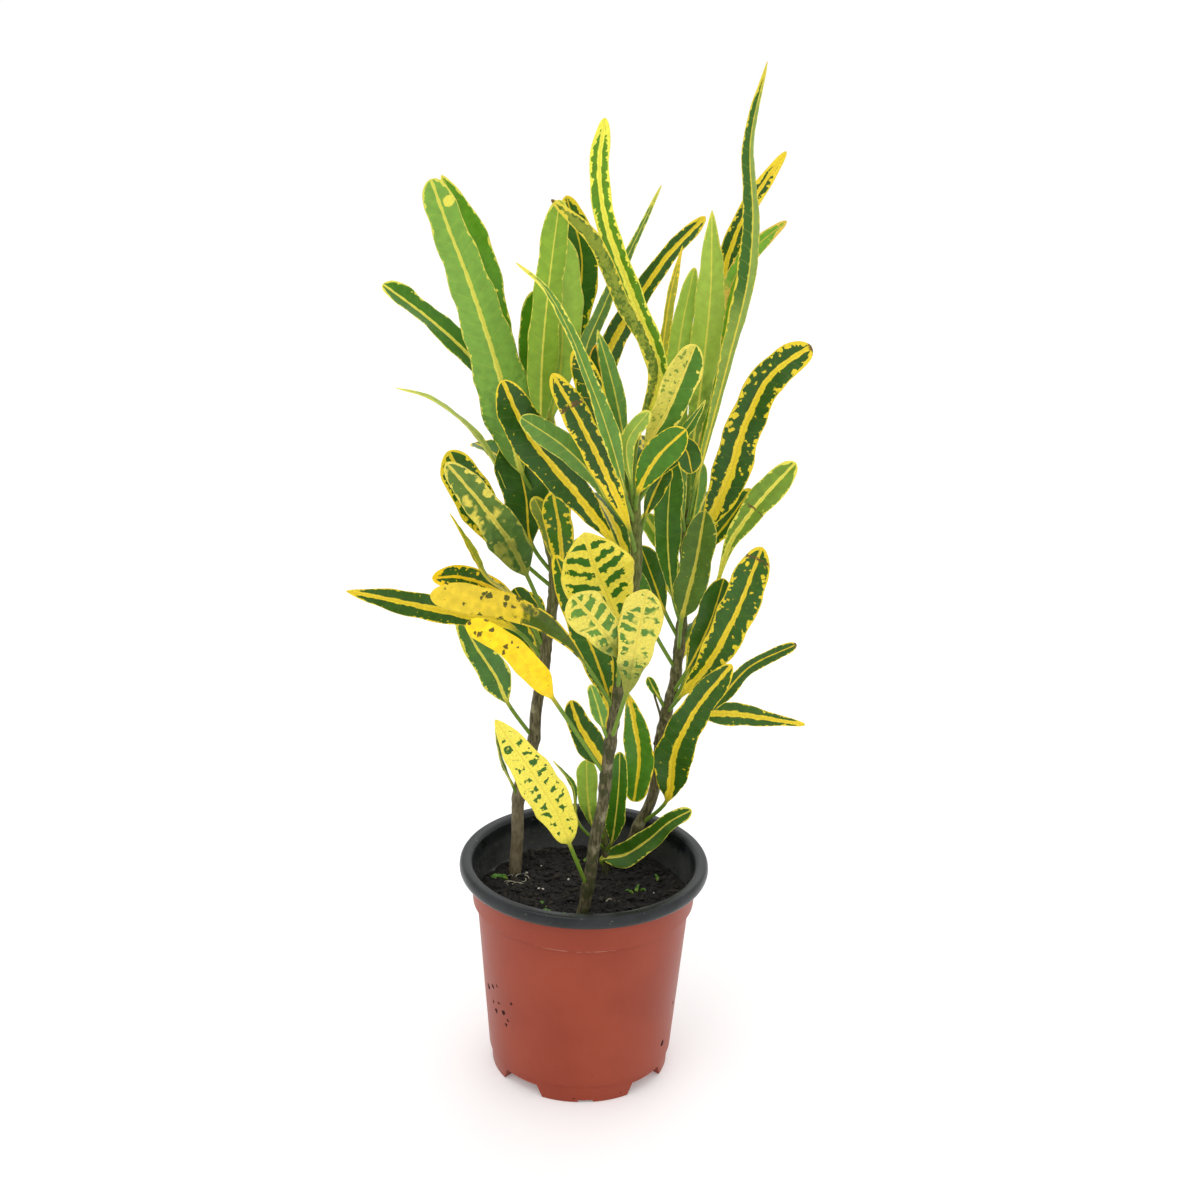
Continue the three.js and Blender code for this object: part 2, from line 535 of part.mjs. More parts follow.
const MATERIALS = {
  pot: material(0xa55041, 0.45),
  soil: material(0x1f1a17, 0.95),
  croton: material(0x4f7f2f, 0.5),
};

function part(name, body, finish) {
  const mesh = new THREE.Mesh(geometryOf(body), finish);
  mesh.name = name;
  return mesh;
}

const plant = new THREE.Group();
plant.add(part('pot', pot(), MATERIALS.pot));
plant.add(part('soil', soil(), MATERIALS.soil));
for (const name of Object.keys(STEMS)) {
  plant.add(part(`leafy_stem_${name}`, leafyStem(name), MATERIALS.croton));
}

export default plant;
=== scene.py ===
"""A potted croton: camera, light, pot, soil, stems and leaves, in millimetres and in the frame's own axes."""
import math

import bmesh
import bpy
import numpy as np
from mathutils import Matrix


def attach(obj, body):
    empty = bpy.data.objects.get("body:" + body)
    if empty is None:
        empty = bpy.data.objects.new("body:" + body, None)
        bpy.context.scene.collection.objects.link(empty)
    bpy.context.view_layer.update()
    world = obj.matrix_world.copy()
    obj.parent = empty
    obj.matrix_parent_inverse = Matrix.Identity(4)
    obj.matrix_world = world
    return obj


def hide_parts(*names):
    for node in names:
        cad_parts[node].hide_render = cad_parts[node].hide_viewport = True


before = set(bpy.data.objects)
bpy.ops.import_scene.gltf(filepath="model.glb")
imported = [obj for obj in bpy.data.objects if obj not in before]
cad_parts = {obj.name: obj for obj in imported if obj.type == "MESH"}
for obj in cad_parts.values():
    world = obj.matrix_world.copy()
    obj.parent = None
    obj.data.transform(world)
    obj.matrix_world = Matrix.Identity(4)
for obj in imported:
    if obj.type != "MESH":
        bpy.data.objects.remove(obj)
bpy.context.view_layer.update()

SEED = 41
MM = 0.001
UP = np.array([0.0, 0.0, 1.0])
ANY_TURN = 6

# The eye and how it looks, and the lens for a square picture
EYE = np.array([4.7, -966.0, 624.0])
PITCH_DOWN = 20.5
ROLL = 1.54
FOCAL_MM = 62.04
SENSOR_MM = 36.0

# Lights in metres and watts: (name, place, size, power), and what they aim at; then the sky and the floor
LIGHTS = [
    ("key", (-0.7, -1.0, 1.9), 1.4, 9),
    ("fill", (1.3, -0.9, 1.0), 1.6, 2),
    ("back", (0.4, 1.3, 1.6), 1.5, 5),
]
LIGHT_AIM = np.array([0, 0, 0.25])
SKY_STRENGTH = 0.95
FLOOR_REACH = 9000.0

# Pot
RIM_RADIUS = 65.0
POT_HEIGHT = 119.0
LIP_HEIGHT = 7.0
LIP_ROUND = 1.9
LIP_STEPS = 13
MOUTH_ROUND = 3
COLLAR_TOP_RADIUS = 59.2
COLLAR_FOOT_RADIUS = 58.0
COLLAR_FOOT_HEIGHT = 96.0
BODY_TOP_RADIUS = 55.6
BODY_FOOT_RADIUS = 48.6
HEEL_RADIUS = 46.9
HEEL_FLARE = 0.6
HEEL_HEIGHT = 10.0
HEEL_STEP = 0.8
WALL = 1.3
WALL_SHARES = np.linspace(0.1, 1.0, 10)
FLOOR = 1.5
POT_SIDES = 192
CHANNEL_WIDTH = 21.0
CHANNEL_HEIGHT = 7.0
CHANNEL_TURN = 50.0
CHANNEL_FLARE = 3.5
NOTCH_LENGTH = 10.0
NOTCH_WIDTH = 8.0
NOTCH_HEIGHT = 1.5
DRAIN_RADIUS = 4.5
DRAIN_DISTANCE = 28.0
DRAIN_SIDES = 32
SHARP_ANGLE = 35

# Soil, its crumbs and the pale grains among them
SOIL_LEVEL = 97.0
SOIL_GAP = 0.3
SOIL_SIDES = 160
SOIL_RINGS = 60
SOIL_GRAIN = 0.22
CRUMBS = 1500
CRUMB_LEAST = 0.45
CRUMB_MOST = 2.0
CRUMB_STRETCHES = [1.0, 1.4, 2.4]
CRUMB_CORNERS = (0.72, 1.2)
CRUMB_FLATNESS = (0.5, 0.9)
CRUMB_TILT = 0.7
GRAIN_EVERY = 34
GRAIN_SIZES = (0.5, 1.0)

# Sprouts and leaf scraps on the soil: (x, y, compass angle, length, width), and how each arches
SPROUTS = [
    (-41, 17, 195, 9, 3.6), (-42, 20, 230, 7, 2.6), (-16.5, -21.5, 200, 4.5, 2.2), (-19.6, -15, 130, 4, 1.6),
    (-12, -24, 330, 4, 2.2), (28, 7, 70, 5, 1.2), (31, 9, 300, 4, 1.2), (26, 5, 190, 4, 1.0),
    (0, 40, 40, 5, 1.8), (-3, 38, 150, 4, 1.4), (40, 20, 120, 4, 1.2),
]
SPROUT_ARCH = [(0, 0), (0.2, 1.0), (0.6, 2.2), (1, 1.8)]

# Root threads: (x, y, compass angle, length), and (share of the length, bend, rise) along each
THREADS = [
    (-37, 17, 30, 9), (-35, 15, 140, 8), (-39, 14, 260, 8), (-33, 18, 330, 8),
    (-36, 13, 200, 7), (-31, 16, 250, 9), (-38, 10, 10, 8), (12, -8, 20, 8),
]
THREAD_BEND = [(0, 0, 0.2), (0.3, 0.12, 1.1), (0.7, -0.1, 0.9), (1, 0.1, 0.1)]
THREAD_RADIUS = 0.3
THREAD_SIDES = 6
THREAD_STEP = 0.6
ROOT_AGE = 2

# Leaves: petiole, thickness and rib, then how a blade folds, waves and ripples
PETIOLE_HALF = 0.9
PETIOLE_THICK = 0.8
PETIOLE_STATIONS = 7
RIB_HALF = 0.15
RIB_FADE = 0.6
LOBE_START = 0.16
STALK_END = (-0.05, 0.07)
BLADE_STATIONS = 44
STATION_CROWDING = 1.5
BLADE_HALF = 0.22
KEEL = 0.55
KEEL_TAPER = 0.75
KEEL_REACH = 0.75
GROOVE = 0.12
GROOVE_REACH = 0.5
BLADE_FOLD = 0.32
FOLD_POWER = 1.15
BLADE_WAVE = 0.07
BLADE_WAVES = 2
WAVE_POWER = 2.2
LEFT_SHIFT = 2.0
RIPPLE = 0.018
RIPPLE_LENGTHS = (7, 11)
LEFT_RIPPLE_SHIFT = 1.9
EDGE_WAVE = 0.05
EDGE_WAVE_LENGTH = 24.0
UNEVENNESS = 0.012
UNEVEN_PITCH = 0.55
ACROSS = [0, 0.05, 0.13, 0.25, 0.4, 0.56, 0.72, 0.86, 0.955, 1]
UPPER = 1
UNDER = -1
PATTERNS = 500
TONES = (0.88, 1.14)
WARMTHS = (0.95, 1.06)

# Stems: where each stands in the soil, its radius there and at its top, and its seen points (x, z, y).
# Seen points are read on the upright plane through the pot's axis, and y is the depth.
STEMS = {
    "left": dict(base=(-37, 24), radius=(3.4, 2.5), line=[
        (-35, 130, 24), (-35, 148, 24), (-34, 160, 24), (-30, 173, 23), (-27, 187, 23), (-26.5, 200, 22),
        (-25, 212, 22), (-23, 225, 22), (-21.5, 240, 21), (-19.5, 255, 21), (-18, 270, 20), (-19, 283, 20),
        (-23, 300, 20), (-26, 335, 20)]),
    "middle": dict(base=(-0.2, -25), radius=(3.2, 2.4), line=[
        (1, 92, -25), (3.5, 110, -25), (5.5, 130, -25), (9, 150, -25), (10.5, 170, -24), (12.5, 190, -24),
        (15, 210, -23), (19, 235, -22), (21, 265, -22), (22.5, 280, -21), (22, 290, -21), (20, 320, -20)]),
    "right": dict(base=(22.5, 40), radius=(3.2, 2.3), line=[
        (25, 130, 39), (28.5, 140, 38), (33, 150, 37), (35.5, 160, 36), (36.3, 170, 35), (37.5, 188, 34),
        (39.5, 200, 32), (41.5, 210, 31), (43.5, 220, 30), (44.5, 230, 29), (46, 252, 28), (46, 280, 26),
        (46, 313, 25)]),
    "low": dict(base=(12, 28), radius=(2.2, 1.4), line=[(11.5, 118, 28), (10.5, 127, 27), (10, 137, 25)]),
}
STEM_STEP = 1.6
STEM_SIDES = 20
STEM_BURIED = 85.0
STEM_UPRIGHT = 98.5
TWIG = [(34.5, 185, 34), (37.5, 197, 29), (33, 214, 27)]
TWIG_RADIUS = 0.8
TWIG_SIDES = 10
TWIG_STEP = 1.5
TWIG_ROUGH = 0.1
STEM_ROUGH = 0.025
YOUNG_FROM = 0.45
KNOT_SWELL = 0.16
KNOT_REACH = 2.2
MOST_SWELL = 0.2
SCAR_SWELL = 0.035
SCAR_REACH = 0.8
SCAR_SPACING = 9.0
TUBE_WAVES = [(1, 0.11), (2, 0.37), (3, 0.8), (5, 0.23)]


# Outlines of a blade from its foot at 0 to its tip at 1: its breadth as a share of the greatest one
def sine_outline(shift, fullness):
    return lambda t: np.maximum(0, np.sin(np.pi * t ** shift)) ** fullness


def strap(widest, taper, tip, slimness=0.8):
    """Widest at a share of its length, then narrowing by a share, with a rounded tip of a given share."""
    def outline(t):
        foot = np.sin(np.pi / 2 * np.minimum(1, t / widest)) ** slimness
        narrowing = 1 - taper * np.maximum(0, t - widest) / (1 - widest)
        return foot * narrowing * np.sqrt(np.maximum(0, 1 - (np.maximum(0, t - 1 + tip) / tip) ** 2.4))
    return outline


ROUND = strap(0.6, 0, 0.3)
FULL = strap(0.3, 0, 0.3)
CLUB = strap(0.8, 0, 0.18)
PADDLE = strap(0.8, 0, 0.22, 1.8)
STRAP = strap(0.35, 0.2, 0.14)
TAPER = strap(0.25, 0.5, 0.1)
LANCE = strap(0.35, 0.4, 0.22)
SPEAR = strap(0.35, 0.85, 0.06)
OVAL = sine_outline(1.36, 0.65)
BROAD = sine_outline(0.85, 0.6)
POINTED = sine_outline(1.15, 0.75)

# Leaves of each stem: (paint, seen height where the petiole leaves the stem, or a point on another blade;
# width; outline; seen points from the blade's foot to its tip; and, where it isn't the upper side without a
# roll, the side turned to the eye and the roll in degrees)
LEAVES = {}
LEAVES["left"] = [
    ("sage_ribbed", 312, 26, TAPER, [(-35, 328, 11), (-46, 375, 4), (-62, 424, -8), (-71, 447, -16),
     (-79, 469, -25)], UNDER),
    ("bright", 325, 18, OVAL, [(-35, 358, 27), (-49, 403, 32), (-60, 441, 33), (-74, 471, 30)]),
    ("green_bold", 320, 16, STRAP, [(-36, 350, 21), (-57, 381, 19), (-79, 402, 18),
     (-102, 419, 18)], UPPER, 42),
    ("pale_thin", 300, 8, POINTED, [(-38, 312, 16), (-50, 335, 12), (-62, 351, 10), (-80, 364, 8),
     (-96, 369, 6)], UPPER, 72),
    ("mid_under", 324, 15, STRAP, [(-26, 348, 11), (-26, 385, 3), (-23, 425, -1), (-19, 461, -2)], UNDER),
    ("pale_under", 327, 20, ROUND, [(-21, 356, 16), (-17, 383, 13), (-17, 412, 12), (-20, 446, 13)], UNDER),
    ("dark_edge", 329, 16, ROUND, [(-22, 356, 27), (-13, 395, 33), (-8, 432, 35), (-16, 463, 31)]),
    ("bright", 331, 13, ROUND, [(-28, 352, 24), (-30, 373, 25), (-31, 396, 25), (-30, 418, 24)]),
    ("dark", 275, 24, ROUND, [(-30, 292, 16), (-33, 316, 15), (-40, 346, 16)]),
    ("olive", 270, 9, ROUND, [(-19, 284, 12), (-22, 300, 8), (-29, 316, 5)], UNDER),
    ("mottled", 262, 14, ROUND, [(-15, 278, 12), (-16, 298, 4), (-20, 319, -3)]),
    ("dark_spotted", 268, 20, ROUND, [(-34, 282, 18), (-50, 301, 14), (-61, 319, 11), (-71, 338, 9)]),
    ("sage_glossy", 248, 20, LANCE, [(-32, 275, 8), (-42, 294, 0), (-56, 313, -7), (-72, 332, -12)]),
    ("yellow_olive", 244, 9, POINTED, [(-36, 262, 3), (-52, 273, -10), (-61, 289, -16),
     (-70, 306, -21)], UPPER, 72),
    ("dark_gold", 236, 12, ROUND, [(-35, 256, 12), (-50, 268, 2), (-66, 273, -6), (-79, 272, -11)]),
    ("dark_bold", 230, 13, POINTED, [(-38, 246, 14), (-65, 253, 2), (-95, 259, -12), (-122, 264, -25)]),
    ("sage_dotted", 186, 16, LANCE, [(-41, 206, 16), (-47, 220, 13), (-57, 236, 11), (-66, 254, 10)]),
    ("green", 152, 6, POINTED, [(-38, 160, 20), (-44, 173, 16), (-47, 191, 14)], UPPER, 70),
    ("dark_edge", 222, 13, ROUND, [(-27, 233, 26), (-35, 244, 28), (-49, 257, 30)]),
    ("dark", 226, 12, ROUND, [(-27, 243, 33), (-31, 255, 39), (-38, 268, 44)]),
    ("dark_edge", 218, 14, ROUND, [(-23, 229, 36), (-25, 240, 43), (-28, 253, 49), (-32, 266, 53)]),
]
LEAVES["middle"] = [
    ("lemon_bold", 310, 11, STRAP, [(25, 342, -15), (30, 378, -9), (17, 414, -2), (3, 450, 3), (-1, 475, 5),
     (1, 499, 5)]),
    ("olive_veined", 314, 7, ROUND, [(20, 342, -26), (27, 383, -19), (11, 414, -14), (-3, 443, -12),
     (-23, 461, -14)], UNDER),
    ("grey_green", 314, 8, SPEAR, [(3, 350, -5), (-6, 384, 7), (3, 412, 12), (14, 437, 16),
     (28, 469, 20)], UNDER),
    ("dark_bold", 306, 13, TAPER, [(4, 348, 4), (3, 381, 15), (16, 410, 19), (32, 436, 21), (49, 455, 22)]),
    ("yellow_olive", 318, 8, POINTED, [(28, 340, -6), (31, 390, 3), (34, 418, 5), (39, 441, 6)], UPPER, 50),
    ("sage_edged", 302, 11, SPEAR, [(15, 320, -32), (10, 338, -44), (3, 359, -53), (-5, 379, -57),
     (-14, 400, -56), (-26, 420, -54), (-39, 431, -52)], UPPER, 42),
    ("blotchy", 302, 13, ROUND, [(12, 326, -22), (0, 362, -22), (-10, 391, -24)]),
    ("narrow_bold", 286, 13, ROUND, [(18, 301, -31), (8, 324, -39), (-6, 352, -48), (-21, 378, -55)]),
    ("dark_bold", 276, 19, ROUND, [(11, 293, -26), (-9, 319, -27), (-32, 347, -30), (-45, 374, -36)]),
    ("sage", 298, 12, ROUND, [(7, 315, -30), (-1, 328, -34), (-15, 342, -38), (-36, 356, -44)], UNDER),
    ("gold_green", 203, 14, CLUB, [(-3, 230, -27), (-15, 244, -30), (-33, 255, -35), (-56, 261, -41),
     (-80, 263, -47)]),
    ("gold", 166, 13, STRAP, [(-18, 209, -32), (-27, 222, -38), (-39, 235, -44), (-50, 243, -47),
     (-62, 248, -50)]),
    ("cream_dashed", 101, 20, BROAD, [(-8, 127, -37), (-14, 143, -44), (-28, 167, -58), (-47, 196, -72)]),
    ("cream_patch", 212, 35, OVAL, [(14, 250, -38), (8, 266, -42), (1, 282, -46), (-4, 298, -50)]),
    ("cream", 186, 20, CLUB, [(19, 212, -40), (22, 230, -52), (25, 250, -62), (28, 269, -72)]),
    ("cream", (21, 221, -46), 20, CLUB, [(17, 231, -51), (10, 242, -57), (3, 251, -62), (-9, 265, -68)]),
    ("dark_edge", 196, 16, LANCE, [(11, 208, -17), (4, 230, -15), (-7, 256, -13), (-18, 286, -12)]),
    ("dark_bold", 182, 12, ROUND, [(10, 192, -12), (9, 215, -5), (8, 250, -3)]),
    ("dark_bold", 160, 15, LANCE, [(8, 171, -14), (3, 182, -8), (-4, 194, -4), (-9, 208, -2)]),
    ("bright_bold", 216, 15, ROUND, [(20, 212, -12), (24, 196, -2), (27, 176, 5), (25, 152, 11)]),
    ("half", 316, 16, ROUND, [(25, 341, -24), (34, 359, -26), (41, 377, -26), (47, 394, -25)]),
    ("green_ribbed", 308, 15, ROUND, [(22, 320, -30), (31, 338, -38), (44, 352, -42)]),
    ("dark", 312, 12, ROUND, [(28, 325, -16), (38, 340, -17), (44, 342, -18), (48, 330, -20)]),
    ("bright", 310, 8, ROUND, [(18, 326, -32), (16, 345, -37), (26, 361, -38)], UNDER),
    ("sage", 316, 9, POINTED, [(16, 337, -18), (9, 370, -15), (0, 400, -13)], UNDER),
    ("dark_orange", 318, 11, ROUND, [(14, 345, -10), (5, 370, -6), (0, 393, -4)]),
    ("dark", 290, 10, ROUND, [(26, 308, -14), (30, 320, -12), (36, 334, -10)]),
    ("green", 318, 6, POINTED, [(32, 336, -10), (44, 352, -8), (53, 367, -8)], UPPER, 30),
    ("sage", 184, 8, LANCE, [(8, 194, -27), (5, 205, -30), (1, 217, -33)], UNDER),
]
LEAVES["right"] = [
    ("light_under", 306, 13, LANCE, [(42, 335, 21), (38, 372, 18), (40, 401, 16), (45, 431, 16)], UNDER),
    ("light_under", 308, 15, POINTED, [(47, 335, 16), (51, 382, 9), (53, 420, 6), (52, 458, 4)], UNDER),
    ("grey_spotted", 300, 11, POINTED, [(50, 325, 13), (63, 388, 0), (70, 425, -5), (71, 454, -6),
     (68, 490, -6), (74, 526, -6)], UNDER, 40),
    ("dark_spotted", 312, 12, LANCE, [(48, 340, 33), (56, 400, 40), (60, 434, 42), (69, 460, 43),
     (85, 486, 43)]),
    ("bright_gold", 310, 12, LANCE, [(50, 340, 27), (58, 392, 30), (63, 424, 31), (72, 440, 31),
     (87, 454, 31)]),
    ("spotted_bold", 280, 19, STRAP, [(55, 300, 22), (66, 328, 19), (71, 350, 17), (83, 379, 13),
     (102, 395, 10)]),
    ("dark_edge", 272, 10, ROUND, [(54, 288, 34), (66, 305, 37), (77, 323, 38)]),
    ("pale_ribbed", 238, 14, PADDLE, [(61, 268, 24), (68, 294, 18), (79, 313, 13), (98, 337, 10)]),
    ("dark", 212, 16, ROUND, [(50, 227, 22), (60, 252, 20), (66, 276, 19)]),
    ("dark_spotted", 202, 19, ROUND, [(47, 212, 18), (61, 231, 13), (73, 258, 8), (84, 293, 3)]),
    ("dark_bold", 138, 20, LANCE, [(42, 153, 26), (45, 180, 13), (54, 203, 4), (72, 230, -3)]),
    ("dark", 194, 8, STRAP, [(60, 203, 30), (69, 214, 30), (81, 229, 32), (104, 242, 35)], UPPER, 20),
    ("dark_bold", 188, 13, SPEAR, [(54, 201, 34), (70, 203, 37), (90, 201, 41), (111, 198, 46)]),
    ("olive_green", 236, 16, FULL, [(46, 255, 10), (51, 280, 1), (55, 311, -6)]),
    ("green", 250, 14, ROUND, [(41, 266, 20), (37, 300, 14), (38, 338, 10)]),
    ("pale_ribbed", 276, 10, ROUND, [(38, 287, 24), (32, 298, 23), (25, 309, 22)]),
    ("sage", 298, 8, ROUND, [(44, 307, 17), (42, 320, 13), (41, 336, 11)], UNDER),
    ("sage", 290, 8, ROUND, [(49, 305, 21), (51, 320, 20), (52, 336, 19)], UNDER),
    ("dark", 242, 13, ROUND, [(37, 258, 28), (31, 274, 28), (24, 292, 28)]),
    ("bright", 204, 8, ROUND, [(49, 221, 25), (53, 238, 23), (56, 258, 22)]),
    ("green", 226, 12, ROUND, [(32, 247, 20), (26, 262, 16), (20, 280, 14)]),
    ("green", 203, 5, ROUND, [(36, 211, 28), (33, 216, 27), (30, 222, 26)]),
]
LEAVES["low"] = [
    ("light_under", 130, 11, ROUND, [(4, 138, 16), (1, 155, 9), (0, 175, 5)], UNDER),
    ("green", 124, 5, POINTED, [(-4, 140, 8), (-7, 160, 1), (-17, 174, -3)], UPPER, 60),
    ("green", 122, 10, STRAP, [(14, 128, 19), (16, 145, 7), (17, 163, -2), (17, 180, -4)]),
    ("green_lined", 113, 14, TAPER, [(9, 118, 27), (21, 121, 26), (33, 130, 23), (44, 141, 20),
     (55, 148, 17)]),
]

# Leaves that arch away from the front: (stem, seen height, compass angle, rise in degrees, length, width)
BACK_LEAVES = [
    ("left", 252, 66, 44, 64, 15),
    ("left", 268, 92, 46, 66, 16),
    ("left", 288, 132, 52, 80, 17),
    ("left", 306, 98, 60, 78, 16),
    ("middle", 268, 112, 44, 74, 15),
    ("middle", 294, 98, 52, 76, 16),
    ("right", 224, 62, 36, 52, 14),
    ("right", 250, 104, 44, 54, 15),
    ("right", 276, 74, 50, 62, 16),
    ("right", 292, 120, 58, 74, 15),
    ("right", 304, 82, 62, 70, 15),
]
BACK_LEAF_START = 10.0
BACK_LEAF_DROOP = 55.0
BACK_LEAF_STEPS = 4
BACK_PETIOLE_SHARE = 0.18
BACK_PAINTS = ["dark_bold", "dark_edge", "green_ribbed", "spotted_bold"]


def srgb(red, green, blue):
    """A colour seen as 0 to 255, in linear light."""
    return tuple((c / 255) ** 2.2 for c in (red, green, blue)) + (1.0,)


# Leaf colours
DARK = srgb(56, 90, 30)
DEEP = srgb(60, 98, 32)
GREEN = srgb(70, 114, 30)
BRIGHT = srgb(92, 140, 36)
SAGE = srgb(86, 120, 50)
OLIVE = srgb(116, 126, 38)
YELLOW = srgb(238, 208, 50)
LEMON = srgb(234, 224, 90)
CREAM = srgb(232, 216, 92)
GOLD = srgb(252, 208, 32)
BROWN = srgb(98, 88, 34)
PALE_UNDER = srgb(140, 170, 68)
SAGE_UNDER = srgb(98, 136, 58)
RIB_CORE = srgb(196, 150, 44)
MOTTLE = srgb(74, 100, 26)
STALK = srgb(110, 138, 50)
SCAR = srgb(104, 78, 46)


# Paints: ground and mark of the upper side, the pale underside, then in millimetres the half width of the
# yellow rib, the yellow margin and half the side veins' width, and as shares the spots, the blotches, how far
# the darker foot reaches (the gold leaves' own dark foot, and painted shade on leaves such as sage_ribbed and
# light_under), and the half that is marked (above 0) or dark (below 0)
def paint(base, mark=YELLOW, under=PALE_UNDER, rib=1.0, margin=0.5, veins=0.0, spots=0.4, blotch=0.0,
          foot=0.0, half=0.0):
    return dict(base=base, mark=mark, under=under, amount=(rib, margin, spots), more=(veins, blotch, foot),
                half=half)


PAINTS = {
    "dark": paint(DARK, rib=0.5, margin=0.3, spots=0.2),
    "dark_bold": paint(DARK, rib=1.7, margin=0.4),
    "dark_edge": paint(DEEP, rib=0.6, margin=0.8),
    "dark_spotted": paint(DARK, rib=1.6, margin=1.0, spots=0.9),
    "dark_gold": paint(DARK, GOLD, rib=1.1, margin=1.2, spots=0.9, blotch=0.2),
    "dark_orange": paint(DARK, srgb(226, 172, 44), rib=1.5),
    "spotted_bold": paint(DARK, rib=2.2, margin=0.9, spots=1.0),
    "blotchy": paint(DARK, rib=1.7, margin=1.0, spots=1.0, veins=0.15, blotch=0.2),
    "green": paint(GREEN, LEMON, rib=0.4, margin=0.3, spots=0.1),
    "green_lined": paint(srgb(64, 100, 30), LEMON, rib=0.6, margin=0.45, spots=0.2),
    "sprout": paint(srgb(76, 116, 44), rib=0.0, margin=0.0, spots=0.0),
    "green_bold": paint(GREEN, LEMON, rib=1.2, spots=0.3),
    "green_ribbed": paint(GREEN, YELLOW, margin=0.4, spots=0.1),
    "grey_green": paint(SAGE, LEMON, under=srgb(92, 124, 58), rib=0.3, margin=0.3, spots=0.0),
    "bright": paint(srgb(88, 138, 30), LEMON, rib=0.3, spots=0.1),
    "bright_bold": paint(srgb(76, 124, 34), rib=1.2, margin=0.4, spots=0.2),
    "lemon_bold": paint(srgb(92, 136, 28), srgb(240, 234, 82), rib=1.9, margin=0.9, spots=0.5),
    "olive": paint(OLIVE, under=srgb(118, 132, 50), rib=0.4),
    "olive_green": paint(srgb(72, 98, 26), srgb(186, 178, 62), margin=0.3, spots=0.5),
    "olive_veined": paint(OLIVE, under=srgb(132, 144, 46), rib=0.0, margin=0.6, spots=2.4),
    "yellow_olive": paint(srgb(150, 156, 46), under=srgb(156, 166, 56), rib=0.7, margin=0.6, spots=0.5),
    "sage": paint(SAGE, LEMON, under=SAGE_UNDER, rib=0.4, margin=0.3, spots=0.05),
    # foot: painted shade on the lower part of the blade
    "sage_ribbed": paint(SAGE, LEMON, under=srgb(118, 156, 62), rib=1.25, margin=0.45, spots=0.1, foot=0.35),
    "sage_glossy": paint(srgb(98, 126, 54), CREAM, rib=1.3, margin=0.6, spots=0.8, blotch=0.43, foot=0.6),
    "sage_edged": paint(srgb(98, 136, 52), LEMON, rib=0.3, spots=0.2),
    "sage_dotted": paint(srgb(82, 122, 58), LEMON, rib=0.8, margin=0.8, spots=0.5),
    "grey_spotted": paint(srgb(96, 124, 52), under=srgb(136, 162, 66), rib=0.5, margin=0.4, spots=0.2,
                          half=-1.0),
    # foot: painted shade on the lower part of the blade
    "light_under": paint(BRIGHT, LEMON, under=srgb(156, 186, 72), rib=0.5, margin=0.3, spots=0.0, foot=0.4),
    "mid_under": paint(BRIGHT, LEMON, under=srgb(124, 156, 48), rib=0.5, margin=0.3, spots=0.0),
    "pale_under": paint(BRIGHT, LEMON, under=srgb(162, 192, 78), rib=0.4, margin=0.3, spots=0.0),
    "bright_gold": paint(srgb(110, 158, 44), srgb(222, 190, 78), rib=0.3, half=1.5),
    "narrow_bold": paint(DARK, rib=1.5, margin=1.0, spots=1.0, blotch=0.15),
    "pale_thin": paint(srgb(160, 176, 76), LEMON, rib=0.5, margin=0.4),
    "pale_ribbed": paint(srgb(118, 148, 50), LEMON, rib=1.3, margin=0.6, spots=0.3),
    "mottled": paint(GREEN, rib=1.2, margin=0.9, spots=0.9, blotch=0.25),
    "gold": paint(GOLD, BROWN, under=srgb(240, 200, 60), rib=0.0, margin=0.0, spots=0.72),
    "gold_green": paint(srgb(236, 202, 54), srgb(86, 88, 30), under=srgb(226, 200, 66), rib=0.0, margin=0.0,
                        spots=1.25, foot=0.5),
    "cream_patch": paint(srgb(52, 98, 28), srgb(238, 218, 76), rib=1.9, margin=3.2, veins=2.6, foot=0.1),
    "cream_dashed": paint(srgb(58, 104, 30), srgb(242, 226, 84), rib=2.6, margin=2.8, veins=3.2, spots=0.9),
    "cream": paint(srgb(92, 134, 50), CREAM, rib=1.6, margin=1.8, veins=1.9, spots=0.6, blotch=0.46,
                   foot=0.5),
    "half": paint(srgb(82, 126, 38), CREAM, rib=0.9, margin=0.6, spots=0.6, half=0.8),
}

# Colours of the rest, in pairs for the dark and the light of a cloudy one
OLD_BARK = srgb(56, 50, 32), srgb(116, 108, 80)
YOUNG_BARK = srgb(76, 84, 38), srgb(118, 124, 62)
BARK_PATCH = srgb(148, 140, 112)
DRY_BARK = srgb(136, 122, 98)
MOSS = srgb(58, 62, 32)
ROOT = srgb(168, 162, 140)
TERRACOTTA = srgb(138, 55, 33), srgb(148, 63, 40)
SCUFF = srgb(166, 88, 64)
WORN = srgb(214, 164, 140)
DIRT = srgb(40, 8, 2)
CHARCOAL = srgb(54, 56, 55), srgb(68, 69, 67)
RIM_BLACK = srgb(26, 29, 30), srgb(44, 47, 48)
DUST = srgb(112, 104, 96)
# Painted glints on the lip, drawn as light streaks
RIM_GLINT = srgb(150, 150, 142)
SOIL_DARK = srgb(15, 14, 13), srgb(36, 33, 29)
FIBRE = srgb(108, 90, 72)
CRUMB_TINTS = [srgb(24, 21, 18), srgb(34, 29, 25), srgb(48, 41, 33), srgb(20, 18, 16), srgb(30, 26, 23)]
GRAIN_TINTS = [srgb(214, 208, 196), srgb(48, 41, 33), srgb(34, 29, 25)]
FLOOR_WHITE = (0.86, 0.86, 0.86, 1), (0.9, 0.9, 0.895, 1)

# Brown scars across a blade: (stem, leaf): share of the blade's length, half width in millimetres
SCARS = {
    ("middle", 7): (0.8, 1.1),
    ("middle", 1): (1.0, 1.6),
    ("right", 5): (1.0, 1.2),
    ("right", 7): (0.63, 0.3),
    ("right", 9): (0.93, 0.6),
    ("right", 11): (1.0, 1.2),
}

# Round yellow patches: (stem, leaf): share of the blade's length, of its half breadth, and radius
PATCHES = {
    ("left", 0): (0.912, -0.34, 2.9),
    ("left", 1): (0.5, 0.5, 1.2),
    ("left", 12): (0.68, 0.6, 2.7),
}
